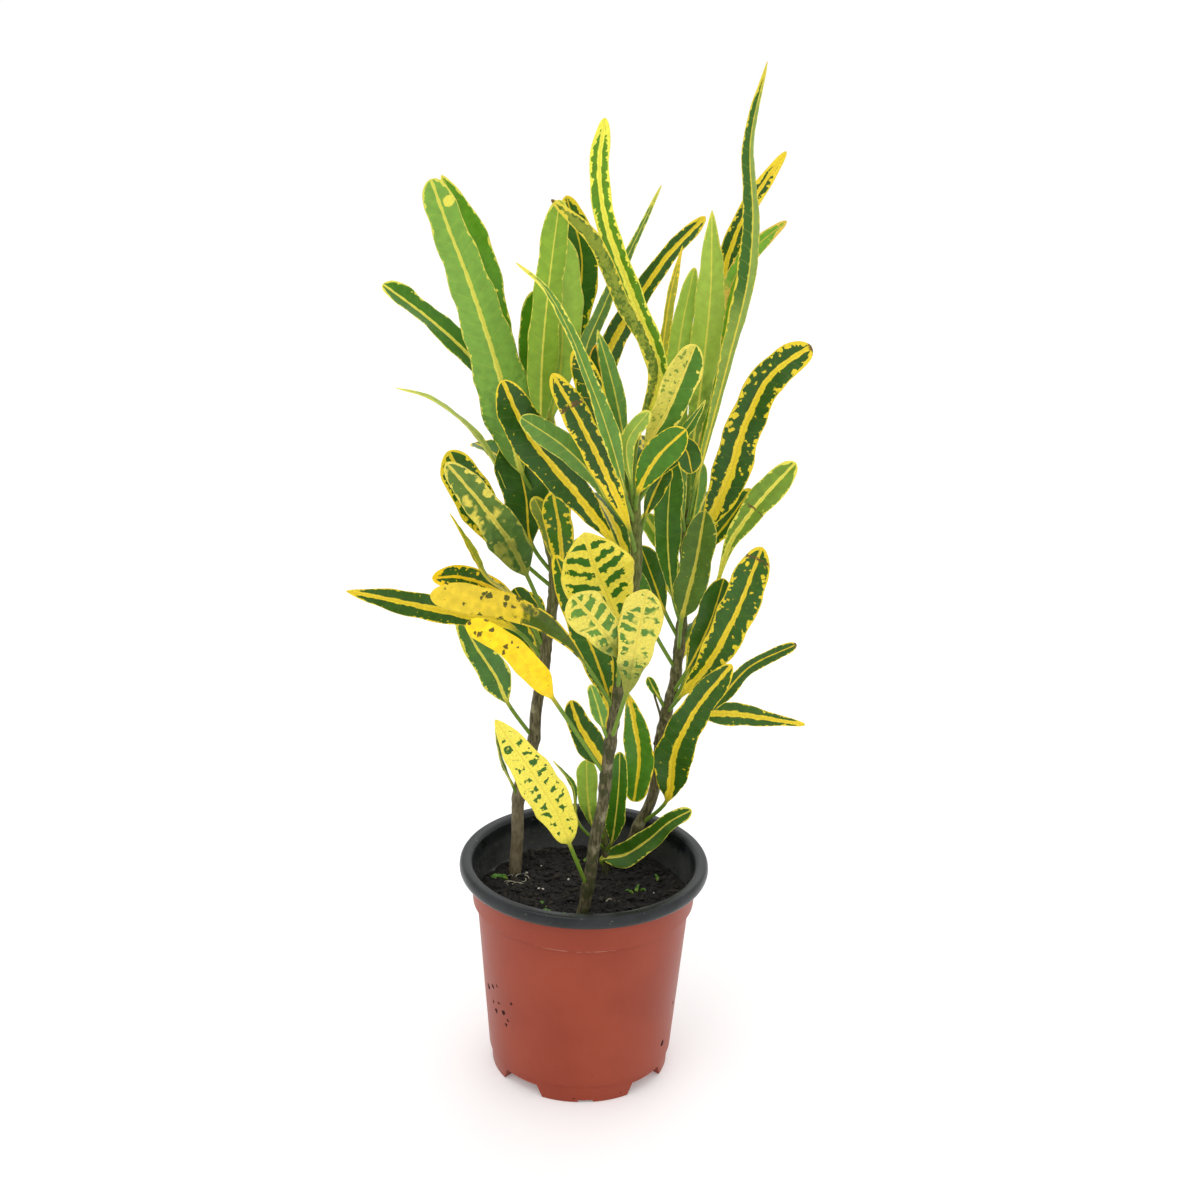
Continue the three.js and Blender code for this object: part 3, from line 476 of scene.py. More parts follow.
# How far off the patch and the scar are on a leaf without them
NOWHERE = 90.0

# Dirt on the pot: compass angle, height and radius; and the worn edge under the collar at its front
SPECKS = [
    (202, 51.4, 1.8), (211, 41.5, 1.3), (215, 48.1, 1.0), (219, 44.3, 1.5),
    (221, 37.2, 0.9), (227, 52.7, 0.9), (208, 45.5, 1.1), (332, 22.4, 1.7),
    (343, 42.4, 1.0), (214, 58.0, 0.8), (209, 55.5, 1.2), (223, 41.0, 0.8),
]
LEDGE_HEIGHT = 95.0
LEDGE_AZIMUTH = -93.0

# Side veins of a blade in millimetres, and their slant
SIDE_VEIN_SPACING = 7.5
SIDE_VEIN_SLANT = 0.06


# Shader building

class Term:
    """A number, vector or colour of a material. Sums, products and the like each add a node to it."""

    def __init__(self, shader, socket):
        self.shader = shader
        self.socket = socket

    def __add__(self, other):
        return self.shader.math("ADD", self, other)

    def __sub__(self, other):
        return self.shader.math("SUBTRACT", self, other)

    def __rsub__(self, other):
        return self.shader.math("SUBTRACT", other, self)

    def __mul__(self, other):
        return self.shader.math("MULTIPLY", self, other)

    def __truediv__(self, other):
        return self.shader.math("DIVIDE", self, other)

    def __abs__(self):
        return self.shader.math("ABSOLUTE", self)

    def clamped(self):
        """The same number, kept between 0 and 1."""
        self.socket.node.use_clamp = True
        return self

    def beside(self, output):
        """Another output of the same node."""
        return Term(self.shader, self.socket.node.outputs[output])


class Shader:
    """A node material, built by small calls that each return a term."""

    def __init__(self, name):
        self.material = bpy.data.materials.new(name)
        self.material.use_nodes = True
        self.tree = self.material.node_tree
        self.bsdf = self.tree.nodes["Principled BSDF"]

    def put(self, socket, value):
        if isinstance(value, Term):
            self.tree.links.new(value.socket, socket)
        elif socket.type == "VECTOR":
            socket.default_value = value[:3]
        else:
            socket.default_value = value

    def node(self, kind, inputs, output=0, **settings):
        """One output of a new node, with its inputs given by name or by number."""
        node = self.tree.nodes.new("ShaderNode" + kind)
        for name, setting in settings.items():
            setattr(node, name, setting)
        for key, value in inputs.items():
            self.put(node.inputs[key], value)
        return Term(self, node.outputs[output])

    def attribute(self, name, output="Vector"):
        return self.node("Attribute", {}, output, attribute_name=name)

    def position(self):
        return self.node("TexCoord", {}, "Object")

    def parts(self, vector):
        x = self.node("SeparateXYZ", {0: vector})
        return x, x.beside(1), x.beside(2)

    def vector(self, *parts):
        return self.node("CombineXYZ", dict(enumerate(parts)))

    def math(self, operation, *values):
        return self.node("Math", dict(enumerate(values)), operation=operation)

    def noise(self, vector, scale, detail=3.0, roughness=0.5):
        inputs = {"Vector": vector, "Scale": scale, "Detail": detail, "Roughness": roughness}
        return self.node("TexNoise", inputs, "Fac")

    def cells(self, vector, scale):
        """The distance from the middle of the nearest cell, and the cell's own colour."""
        distance = self.node("TexVoronoi", {"Vector": vector, "Scale": scale}, "Distance")
        return distance, distance.beside("Color")

    def step(self, value, low, high, start=0.0, end=1.0):
        """Goes softly from start to end while the value goes from low to high."""
        inputs = {"Value": value, "From Min": low, "From Max": high, "To Min": start, "To Max": end}
        return self.node("MapRange", inputs, "Result", interpolation_type="SMOOTHSTEP")

    def distance(self, a, b):
        return self.node("VectorMath", {0: a, 1: b}, "Value", operation="DISTANCE")

    def within(self, distance, reach, softness):
        """1 where the distance is under the reach, and 0 past it."""
        return ((reach - distance) / softness + 0.5).clamped()

    def most(self, first, *others):
        for other in others:
            first = self.math("MAXIMUM", first, other)
        return first

    def blend(self, share, a, b):
        """The number a where the share is 0, and b where it is 1."""
        return self.math("ADD", a, share * self.math("SUBTRACT", b, a))

    def mix(self, share, a, b):
        """The colour a where the share is 0, and b where it is 1."""
        return self.node("Mix", {0: share, 6: a, 7: b}, 2, data_type="RGBA")

    def clouded(self, noise, a, b):
        return self.mix(self.step(noise, 0.3, 0.7), a, b)

    def scaled(self, colour, factor):
        """A colour made lighter or darker by a factor."""
        return self.node("VectorMath", {0: colour, "Scale": factor}, operation="SCALE")

    def bump(self, height, strength, distance):
        inputs = {"Height": height, "Strength": strength, "Distance": distance}
        self.set(Normal=self.node("Bump", inputs, "Normal"))

    def set(self, **values):
        for name, value in values.items():
            self.put(self.bsdf.inputs[name.replace("_", " ")], value)
        return self.material


class LeafShader(Shader):
    """Reads what each leaf carries: its flat coordinates in centimetres, its distances and its paint."""

    def __init__(self):
        super().__init__("croton_leaf")
        self.flat = self.attribute("flat")
        self.edge, self.rib, self.petiole = self.parts(self.attribute("edge"))
        self.along, self.across, self.under = self.parts(self.attribute("blade"))
        self.rib_width, self.margin_width, self.spots = self.parts(self.attribute("amount"))
        self.veins, self.blotch, self.foot = self.parts(self.attribute("more"))
        self.half, self.patch, self.scar = self.parts(self.attribute("extra"))
        self.middling = self.noise(self.flat, 2.6, 3.0)
        self.fine = self.noise(self.flat, 9.0, 4.0)
        self.ragged = (self.middling + self.fine - 1.0) * 4.0
        self.bare = self.step(self.margin_width, 0.1, 0.0)

    def ribbed(self):
        taper = self.step(self.along, 0.0, 1.0, 1.15, 0.55)
        reach = self.rib_width * taper * self.step(self.middling, 0.34, 0.68, 0.78, 1.18)
        return self.within(self.rib, reach, 0.3) * self.step(self.rib_width, 0.0, 0.3)

    def edged(self):
        reach = self.margin_width * self.step(self.noise(self.flat, 3.4, 2.0), 0.42, 0.7, 0.55, 2.4)
        reach = reach + self.margin_width * self.step(self.along, 0.86, 1.0, 0.0, 1.6)
        return self.within(self.edge, reach, 0.25) * self.step(self.margin_width, 0.0, 0.3)

    def from_side_vein(self):
        """The distance from the nearest side vein, in millimetres."""
        slanted = self.parts(self.flat)[0] - self.rib * SIDE_VEIN_SLANT
        turns = (slanted + (self.middling - 0.5) * 0.25) / (SIDE_VEIN_SPACING / 10)
        return abs(self.math("FRACT", turns) - 0.5) * SIDE_VEIN_SPACING

    def veined(self, from_vein):
        reach = self.veins * self.step(self.noise(self.flat, 2.1, 2.0), 0.35, 0.68, 0.35, 1.15)
        return self.within(from_vein, reach, 0.35) * self.step(self.veins, 0.0, 0.2)

    def spotted(self):
        """Spots grow towards the edges, and on a leaf without a margin towards its tip or its foot."""
        length, breadth, own = self.parts(self.flat)
        torn = self.vector(length + self.middling * 0.45, breadth + self.fine * 0.3, own)
        distance, tint = self.cells(torn, 2.7)
        size = self.parts(tint)[0] * (self.spots * 0.5)
        outwards = self.step(abs(self.across), 0.15, 0.8, 0.35, 1.0)
        tipwards = self.step(self.along, 0.45, 0.65, 0.25, 1.15)
        footwards = self.step(self.along, 0.85, 0.6, 0.45, 1.0)
        lengthwise = self.blend(self.step(self.foot, 0.3, 0.4), tipwards, footwards)
        size = size * self.blend(self.bare, outwards, lengthwise)
        return self.within(distance, size, 0.08) * self.step(self.spots, 0.0, 0.1)

    def blotched(self):
        broad = self.noise(self.flat, 0.9, 2.0)
        return self.within(1.0 - broad, self.blotch, 0.06) * self.step(self.blotch, 0.0, 0.2)

    def halved(self):
        """How much of a half is marked, and how much of one is dark."""
        one_side = self.within(self.across, self.middling - 0.5, 0.12)
        flecks = self.step(self.noise(self.flat, 4.0, 3.0), 0.56, 0.62, 1.0, 0.25)
        reach = self.step(self.along, 0.62, 0.7, 1.0, self.step(self.half, 1.0, 1.2, 1.0, 0.0))
        marked = (self.half * flecks * reach * one_side).clamped()
        shaded = (self.half * -1.0 * (1.0 - one_side)).clamped()
        return marked, shaded * self.step(self.along, 0.4, 0.52)

    def dark_foot_and_shade(self):
        """How much darker the foot is, inside a golden edge where the leaf has no margin: the gold leaves'
        own dark foot, and painted shade at the foot of leaves such as sage_ribbed and light_under.
        """
        uneven = self.along + (self.middling - 0.5) * 0.35
        full = self.foot * self.blend(self.bare, 0.4, 0.78)
        share = self.step(self.foot, 0.0, 0.2) * self.step(uneven, self.foot, full)
        return share * (1.0 - self.bare * self.within(self.edge, 0.75, 0.3))


def leaf_material():
    s = LeafShader()
    ribbed, edged, spotted, blotched = s.ribbed(), s.edged(), s.spotted(), s.blotched()
    halved, shaded = s.halved()
    dark_foot_and_shade = s.dark_foot_and_shade()
    from_vein = s.from_side_vein()
    line = s.within(from_vein, 0.18, 0.4) * s.step(s.rib, 0.2, 1.0)
    patched = s.within(s.patch, s.ragged * 0.3, 0.35)

    # The ground darkens at the foot: painted shade, and on the gold leaves their own dark foot.
    base = s.most(dark_foot_and_shade * s.blend(s.bare, 0.85, 0.95), shaded)
    base = s.mix(base, s.attribute("base", "Color"), DARK)
    base = s.mix(line * 0.05, base, LEMON)
    base = s.scaled(base, s.step(s.middling, 0.2, 0.8, 0.86, 1.16))
    mark = s.scaled(s.attribute("mark", "Color"), s.step(s.fine, 0.25, 0.75, 0.85, 1.1))
    mark = s.mix(s.within(s.rib, 0.3, 0.3) * s.step(s.fine, 0.35, 0.65, 0.1, 0.35), mark, RIB_CORE)
    marked = s.most(ribbed, edged, s.veined(from_vein), spotted, blotched, halved, patched)
    upper = s.mix(marked * (1.0 - dark_foot_and_shade * 0.7), base, mark)

    pale = s.scaled(s.attribute("under", "Color"), s.step(s.middling, 0.2, 0.8, 0.88, 1.12))
    # The underside darkens at its foot too: painted shade, and on the gold leaves their own dark foot.
    pale = s.mix(s.most(dark_foot_and_shade * 0.6, shaded), pale, DEEP)
    mottled = s.step(s.noise(s.flat, 6.0, 3.0), 0.5, 0.55) * s.step(s.spots, 1.0, 2.0)
    mottled = mottled * s.step(s.along, 0.55, 0.8, 1.0, 0.1)
    pale = s.mix(s.most(spotted, mottled) * 0.8, pale, MOTTLE)
    pale = s.mix(line * 0.12, pale, LEMON)
    shown = s.most(s.most(ribbed, edged, blotched * 0.7) * 0.8, patched)
    lower = s.mix(shown, pale, s.mix(0.35, mark, LEMON))

    colour = s.mix(s.under, upper, lower)
    colour = s.mix(s.petiole, colour, s.scaled(STALK, s.step(s.fine, 0.3, 0.7, 0.85, 1.15)))
    scarred = s.within(s.scar, s.ragged, 0.8) * s.step(s.fine, 0.25, 0.55, 0.5, 1.0)
    colour = s.mix(scarred, colour, s.scaled(SCAR, s.step(s.fine, 0.3, 0.7, 0.6, 1.15)))
    groove = s.within(from_vein, 0.3, 0.5) * s.step(s.rib, 0.4, 1.5)
    s.bump(groove * -0.5 + s.fine * 0.35, 0.35, 0.0004)
    roughness = s.step(s.middling, 0.3, 0.7, 0.3, 0.42) + s.under * 0.14
    return s.set(Base_Color=colour, Roughness=roughness, Specular_IOR_Level=0.25, Subsurface_Weight=0.08,
                 Subsurface_Scale=0.002, Subsurface_Radius=(0.6, 1.0, 0.2))


def bark_material():
    """Old bark is dry at the left stem's foot and mossy at the middle one's; above 1.4, `young` is a root."""
    s = Shader("croton_bark")
    place = s.position()
    young = s.attribute("young", "Fac")
    x, y, z = s.parts(place)
    streaks = s.noise(s.vector(x, y, z * 0.22), 900.0, 4.0, 0.6)
    patches = s.noise(place, 160.0, 3.0)
    old = s.mix(s.step(patches, 0.56, 0.74), s.clouded(streaks, *OLD_BARK), BARK_PATCH)
    dry = s.step(z, 0.16, 0.13) * s.step(x, -0.02, -0.012, 1.0, 0.0)
    old = s.mix(dry * s.step(patches, 0.35, 0.6, 0.3, 0.8), old, DRY_BARK)
    mossy = s.step(abs(x - 0.006), 0.018, 0.012) * s.step(patches, 0.4, 0.5, 0.8, 0.1)
    old = s.mix(mossy, old, MOSS)
    colour = s.mix((young + (patches - 0.5) * 0.5).clamped(), old, s.clouded(streaks, *YOUNG_BARK))
    colour = s.mix(s.step(young, 1.4, 1.6), colour, ROOT)
    s.bump(streaks, 0.6, 0.0006)
    return s.set(Base_Color=colour, Roughness=0.72, Specular_IOR_Level=0.25)


def pot_dirt(s, place, z):
    """How dirty the pot is: a haze at its foot, and ragged specks."""
    dirt = s.step(s.noise(place, 300.0, 3.0), 0.68, 0.74) * s.step(z, 0.03, 0.005)
    torn = (s.noise(place, 700.0, 3.0) - 0.5) * 0.003
    for azimuth, height, size in SPECKS:
        share = (height - HEEL_HEIGHT) / (COLLAR_FOOT_HEIGHT - HEEL_HEIGHT)
        radius = BODY_FOOT_RADIUS + (BODY_TOP_RADIUS - BODY_FOOT_RADIUS) * share
        spot = (heading(azimuth) * radius + UP * height) * MM
        dirt = s.most(dirt, s.within(s.distance(place, spot) + torn, size * MM, 0.0003))
    return dirt


def pot_outside_material():
    s = Shader("pot_terracotta")
    place = s.position()
    x, y, z = s.parts(place)
    around = s.math("ARCTAN2", y, x)
    cloud = s.noise(place, 26.0, 3.0)
    grain = s.noise(place, 900.0, 2.0)
    scuffs = s.noise(s.vector(around * 14.0, z * 26.0, 0.0), 3.2, 5.0, 0.65)
    colour = s.mix(s.step(scuffs, 0.62, 0.78) * 0.3, s.clouded(cloud, *TERRACOTTA), SCUFF)
    ledge = s.within(abs(z - LEDGE_HEIGHT * MM), 0.0004, 0.0004)
    front = s.within(abs(around - math.radians(LEDGE_AZIMUTH)), 0.32, 0.25)
    worn = ledge * front * s.step(s.noise(place, 240.0, 3.0), 0.42, 0.56)
    colour = s.mix(worn * 0.75, colour, WORN)
    dirt = pot_dirt(s, place, z)
    s.bump(grain * 0.3 + scuffs, 0.12, 0.0004)
    roughness = s.most(s.step(cloud, 0.3, 0.7, 0.36, 0.46), dirt)
    return s.set(Base_Color=s.mix(dirt * 0.95, colour, DIRT), Roughness=roughness, Specular_IOR_Level=0.3)


def pot_inside_material():
    s = Shader("pot_charcoal")
    place = s.position()
    x, y, z = s.parts(place)
    cloud = s.noise(place, 60.0, 4.0)
    dust = s.step(s.noise(place, 420.0, 3.0), 0.56, 0.72)
    wall = s.mix(dust * 0.25, s.clouded(cloud, *CHARCOAL), DUST)
    # Light streaks along the lip: painted glints.
    flow = s.vector(s.math("ARCTAN2", y, x) * 16.0, z * 420.0, 0.0)
    painted_glints = s.step(s.noise(flow, 1.6, 4.0, 0.6), 0.64, 0.72) * 0.45
    rim = s.mix(painted_glints, s.clouded(cloud, *RIM_BLACK), RIM_GLINT)
    s.bump(cloud, 0.15, 0.0005)
    return s.set(Base_Color=s.mix(s.step(z, 0.108, 0.113), wall, rim),
                 Roughness=s.step(cloud, 0.3, 0.7, 0.24, 0.4), Specular_IOR_Level=0.28)


def soil_material():
    s = Shader("potting_mix")
    place = s.position()
    lumps = s.noise(place, 240.0, 5.0, 0.65)
    grit = s.noise(place, 900.0, 4.0, 0.7)
    s.bump(lumps + grit * 0.5, 0.9, 0.0016)
    return s.set(Base_Color=s.mix(s.step(grit, 0.62, 0.7) * 0.5, s.clouded(lumps, *SOIL_DARK), FIBRE),
                 Roughness=0.95)


def crumb_material():
    s = Shader("soil_crumb")
    grit = s.noise(s.position(), 1400.0, 4.0)
    s.bump(grit, 0.6, 0.0006)
    tint = s.scaled(s.attribute("tint", "Color"), s.step(grit, 0.3, 0.7, 0.7, 1.2))
    return s.set(Base_Color=tint, Roughness=0.9)


def floor_material():
    s = Shader("floor_white")
    return s.set(Base_Color=s.mix(s.noise(s.position(), 0.8, 2.0), *FLOOR_WHITE), Roughness=0.7,
                 Emission_Color=(1, 1, 1, 1), Emission_Strength=0.16)


# Places and curves

def unit(v):
    return v / np.linalg.norm(v, axis=-1, keepdims=True)


def heading(compass):
    """The level direction at a compass angle, counted from +X to +Y."""
    return np.array([math.cos(math.radians(compass)), math.sin(math.radians(compass)), 0.0])


def seen(point):
    """The place at depth y that the eye sees at x and z on the upright plane through the pot's axis."""
    x, z, y = point
    on_plane = np.array([x, 0.0, z])
    return EYE + (on_plane - EYE) * (y - EYE[1]) / -EYE[1]


class Curve:
    """A centripetal Catmull-Rom curve, measured along its length."""
    PER_SPAN = 60
    REACH = 0.5

    def __init__(self, points):
        p = [np.asarray(point, float) for point in points]
        p = [2 * p[0] - p[1]] + p + [2 * p[-1] - p[-2]]
        u = np.linspace(0, 1, self.PER_SPAN, endpoint=False)[:, None]
        rows = []
        for a, b, c, d in zip(p, p[1:], p[2:], p[3:]):
            ab, bc, cd = (math.sqrt(np.linalg.norm(q - r)) for q, r in ((a, b), (b, c), (c, d)))
            start = ((b - a) / ab - (c - a) / (ab + bc) + (c - b) / bc) * bc
            end = ((c - b) / bc - (d - b) / (bc + cd) + (d - c) / cd) * bc
            row = b + start * u + (3 * (c - b) - 2 * start - end) * u ** 2
            rows.append(row + (2 * (b - c) + start + end) * u ** 3)
        self.points = np.vstack(rows + [p[-2][None]])
        steps = np.linalg.norm(np.diff(self.points, axis=0), axis=1)
        self.lengths = np.concatenate([[0], np.cumsum(steps)])
        self.length = self.lengths[-1]

    def knot(self, i):
        return self.lengths[i * self.PER_SPAN]

    def at(self, s):
        s = np.clip(s, 0, self.length)
        return np.stack([np.interp(s, self.lengths, self.points[:, k]) for k in range(3)], axis=-1)

    def direction(self, s):
        ahead, behind = np.minimum(s + self.REACH, self.length), np.maximum(s - self.REACH, 0)
        return unit(self.at(ahead) - self.at(behind))


# Meshes

def link_object(name, data):
    thing = bpy.data.objects.new(name, data)
    bpy.context.scene.collection.objects.link(thing)
    return thing


class Sheaf:
    """Collects points, faces and what each point carries, and makes one mesh of them."""
    KINDS = {1: ("FLOAT", "value"), 3: ("FLOAT_VECTOR", "vector"), 4: ("FLOAT_COLOR", "color")}

    def __init__(self):
        self.points = []
        self.faces = []
        self.materials = []
        self.carried = {}
        self.count = 0

    def add(self, points, faces, material=0, **carried):
        self.points.append(points)
        self.faces += [tuple(i + self.count for i in face) for face in faces]
        self.materials += [material] * len(faces)
        for name, values in carried.items():
            self.carried.setdefault(name, []).append((self.count, values))
        self.count += len(points)

    def object(self, name, materials, smooth=True):
        mesh = bpy.data.meshes.new(name)
        mesh.from_pydata((np.vstack(self.points) * MM).tolist(), [], self.faces)
        for material in materials:
            mesh.materials.append(material)
        mesh.polygons.foreach_set("material_index", self.materials)
        mesh.polygons.foreach_set("use_smooth", [smooth] * len(mesh.polygons))
        for key, rows in self.carried.items():
            width = rows[0][1].shape[1]
            kind, field = self.KINDS[width]
            data = np.zeros((self.count, width), dtype=np.float32)
            for start, values in rows:
                data[start:start + len(values)] = values
            mesh.attributes.new(key, kind, "POINT").data.foreach_set(field, data.ravel())
        mesh.update()
        return link_object(name, mesh)


def circle(radius, z, angle):
    return np.stack([radius * np.cos(angle), radius * np.sin(angle), z + 0 * angle], axis=-1)


def ring_faces(rings, count):
    """The faces of a closed skin through rings of `count` points, anticlockwise seen from its end."""
    faces = []
    for k in range(rings - 1):
        for j in range(count):
            a, b = k * count + j, k * count + (j + 1) % count
            faces.append((a, b, b + count, a + count))
    faces.append(tuple(reversed(range(count))))
    faces.append(tuple(range((rings - 1) * count, rings * count)))
    return faces


def settle(piece, *nodes, slot):
    """Ties a finished piece to the frame."""
    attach(piece, "root")
    if nodes:
        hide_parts(*nodes)


# Leaves

def facing_eye(face=UPPER, roll=0):
    def up(centre, along):
        sight = unit(EYE - centre)
        upright = unit(sight - along * np.sum(sight * along, axis=-1, keepdims=True))
        side = np.cross(along, upright)
        return face * (upright * math.cos(math.radians(roll)) + side * math.sin(math.radians(roll)))
    return up


def facing_sky(centre, along):
    return unit(UP - along * along[..., 2:])


def smooth(value, low, high):
    t = np.clip((value - low) / (high - low), 0, 1)
    return t * t * (3 - 2 * t)


def triples(shape, *parts):
    """Three numbers for each point, as rows of three."""
    return np.stack([np.broadcast_to(part, shape) for part in parts], axis=-1).reshape(-1, 3)


def blemishes(place, t, blade, across, width):
    """How far each point is from the leaf's round patch and from its scar."""
    patch = scar = NOWHERE
    if place in PATCHES:
        length_share, breadth_share, radius = PATCHES[place]
        patch = np.hypot((t - length_share) * blade, across - breadth_share * width / 2) - radius
    if place in SCARS:
        length_share, reach = SCARS[place]
        scar = np.abs(t - length_share) * blade - reach
    return patch, scar


def add_leaf(sheaf, points, width, outline, facing, phase, look, rng, place=None):
    """A petiole and its blade as one closed skin. Rows run along the leaf, from -1 to 0 at the blade's foot
    and 1 at its tip, and columns across it, from -1 to 1."""
    curve = Curve(points)
    foot = curve.knot(1)
    blade = curve.length - foot
    t = 1 - (1 - np.linspace(0, 1, BLADE_STATIONS)) ** STATION_CROWDING
    t = np.concatenate([np.linspace(-1, 0, PETIOLE_STATIONS, endpoint=False), t])[:, None]
    s = np.where(t < 0, (1 + t) * foot, foot + t * blade)
    centre = curve.at(s)
    along = curve.direction(s)
    up = facing(centre, along)
    side = unit(np.cross(along, up))
    on_blade = np.clip(t, 0, 1)
    lobe = smooth(t, 0.0, LOBE_START)
    uneven = 1 + UNEVENNESS * np.sin(on_blade * blade * UNEVEN_PITCH + rng.uniform(0, ANY_TURN))
    breadth = width * outline(on_blade) * uneven
    stalk = PETIOLE_HALF * (1 - smooth(t, 0.0, RIB_FADE)) + RIB_HALF

    across = np.array(ACROSS)
    across = np.concatenate([-across[:0:-1], across])[None]
    left = across < 0
    drift = on_blade * blade / EDGE_WAVE_LENGTH * 2 * np.pi + rng.uniform(0, ANY_TURN)
    swing = 1 + EDGE_WAVE * np.sin(drift + LEFT_SHIFT * left)
    half = np.sqrt(stalk ** 2 + (breadth / 2 * swing) ** 2)
    from_rib = across * half
    turns = 2 * np.pi * BLADE_WAVES * on_blade + phase
    ripple_turns = on_blade * blade / rng.uniform(*RIPPLE_LENGTHS) * 2 * np.pi
    ripple_turns = ripple_turns + LEFT_RIPPLE_SHIFT * left + phase
    wave = BLADE_WAVE * breadth * np.sin(turns + LEFT_SHIFT * left)
    ripple = RIPPLE * breadth * np.sin(ripple_turns)
    fold = BLADE_FOLD * np.maximum(0, half - PETIOLE_HALF) * np.abs(across) ** FOLD_POWER
    lift = fold + (wave + ripple) * np.abs(across) ** WAVE_POWER

    bulge = np.sqrt(np.maximum(0, 1 - across ** 2))
    skin = BLADE_HALF * np.sqrt(np.maximum(0, 1 - across ** 8))
    keel = (KEEL * (1 - KEEL_TAPER * on_blade)) * np.exp(-(from_rib / KEEL_REACH) ** 2)
    groove = GROOVE * np.exp(-(from_rib / GROOVE_REACH) ** 2)
    top = (1 - lobe) * PETIOLE_THICK * bulge + lobe * (skin - groove)
    bottom = (1 - lobe) * PETIOLE_THICK * bulge + lobe * (skin + keel * bulge)

    def face(rise):
        return centre + side * from_rib[..., None] + up * (lift + rise)[..., None]

    ring = np.concatenate([face(top), face(-bottom)[:, -2:0:-1]], axis=1)
    rows, size, _ = ring.shape
    count = across.size
    order = np.concatenate([np.arange(count), np.arange(count - 2, 0, -1)])
    share, from_rib, half = across[:, order], from_rib[:, order], half[:, order]
    patch, scar = blemishes(place, t, blade, from_rib, width)
    own_pattern = rng.uniform(0, PATTERNS)
    tone = rng.uniform(*TONES)
    warm = rng.uniform(*WARMTHS)

    def varied(colour):
        return (colour[0] * tone * warm, colour[1] * tone, colour[2] * tone, 1.0)

    def spread(values):
        return np.broadcast_to(np.asarray(values, float), (rows * size, len(values)))

    shape = (rows, size)
    sheaf.add(
        ring.reshape(-1, 3), ring_faces(rows, size),
        flat=triples(shape, (s - foot) / 10, from_rib / 10, own_pattern),
        edge=triples(shape, half * (1 - np.abs(share)), np.abs(from_rib), 1 - smooth(t, *STALK_END)),
        blade=triples(shape, on_blade, share, np.arange(size) >= count),
        base=spread(varied(look["base"])), mark=spread(look["mark"]), under=spread(varied(look["under"])),
        amount=spread(look["amount"]), more=spread(look["more"]),
        extra=triples(shape, look["half"], patch, scar),
    )


def stem_point(name, height):
    """The middle of a stem at a seen height."""
    line = STEMS[name]["line"]
    above = next(i for i, point in enumerate(line) if i and point[1] >= height)
    low, high = np.array(line[above - 1]), np.array(line[above])
    return seen(low + (high - low) * (height - low[1]) / (high[1] - low[1]))


def back_leaf_points(name, height, compass, rise, length):
    points = [stem_point(name, height)]
    shares = [BACK_PETIOLE_SHARE] + [(1 - BACK_PETIOLE_SHARE) / BACK_LEAF_STEPS] * BACK_LEAF_STEPS
    for k, share in enumerate(shares):
        slope = math.radians(rise + BACK_LEAF_START - BACK_LEAF_DROOP * k / BACK_LEAF_STEPS)
        step = heading(compass) * math.cos(slope) + UP * math.sin(slope)
        points.append(points[-1] + step * share * length)
    return points


# Stems

def add_tube(sheaf, curve, radius_at, sides, step, young_at, rng, rough=0.0):
    rings = max(3, int(curve.length / step))
    s = np.linspace(0, curve.length, rings)
    along = curve.direction(s)
    side = unit(np.cross(np.array([0.0, 1.0, 0.0]), along))
    back = np.cross(along, side)
    angle = np.linspace(0, 2 * np.pi, sides, endpoint=False)
    waves = sum(np.sin(angle[None] * turn + s[:, None] * pitch + rng.uniform(0, ANY_TURN))
                for turn, pitch in TUBE_WAVES) / len(TUBE_WAVES)
    radius = radius_at(s / curve.length)[:, None] * (1 + rough * waves)
    spoke = side[:, None] * np.cos(angle)[None, :, None] + back[:, None] * np.sin(angle)[None, :, None]
    points = (curve.at(s)[:, None] + spoke * radius[..., None]).reshape(-1, 3)
    young = np.repeat(young_at(s / curve.length), sides)[:, None]
    sheaf.add(points, ring_faces(rings, sides), 1, young=young)


def add_stem(sheaf, name, roots, rng):
    """A stem that swells where a leaf stands on it, with the rings of old leaf scars."""
    x, y = STEMS[name]["base"]
    foot, top = STEMS[name]["radius"]
    buried = [np.array([x, y, z]) for z in (STEM_BURIED, (STEM_BURIED + STEM_UPRIGHT) / 2, STEM_UPRIGHT)]
    curve = Curve(buried + [seen(point) for point in STEMS[name]["line"]])
    knots = np.array([np.argmin(np.linalg.norm(curve.points - root, axis=1)) for root in roots])
    knots = curve.lengths[knots] / curve.length

    def radius_at(share):
        swell = np.zeros_like(share)
        for knot in knots:
            swell += KNOT_SWELL * np.exp(-(((share - knot) * curve.length) / KNOT_REACH) ** 2)
        from_scar = (share * curve.length) % SCAR_SPACING - SCAR_SPACING / 2
        scars = SCAR_SWELL * np.exp(-(from_scar / SCAR_REACH) ** 2)
        rounded = np.where(share > 0.995, 0.55, 1.0)
        radius = foot + (top - foot) * np.clip(share, 0, 1)
        return radius * (1 + np.minimum(swell, MOST_SWELL) + scars) * rounded

    def young_at(share):
        return smooth(share, YOUNG_FROM, 1.0)

    add_tube(sheaf, curve, radius_at, STEM_SIDES, STEM_STEP, young_at, rng, STEM_ROUGH)


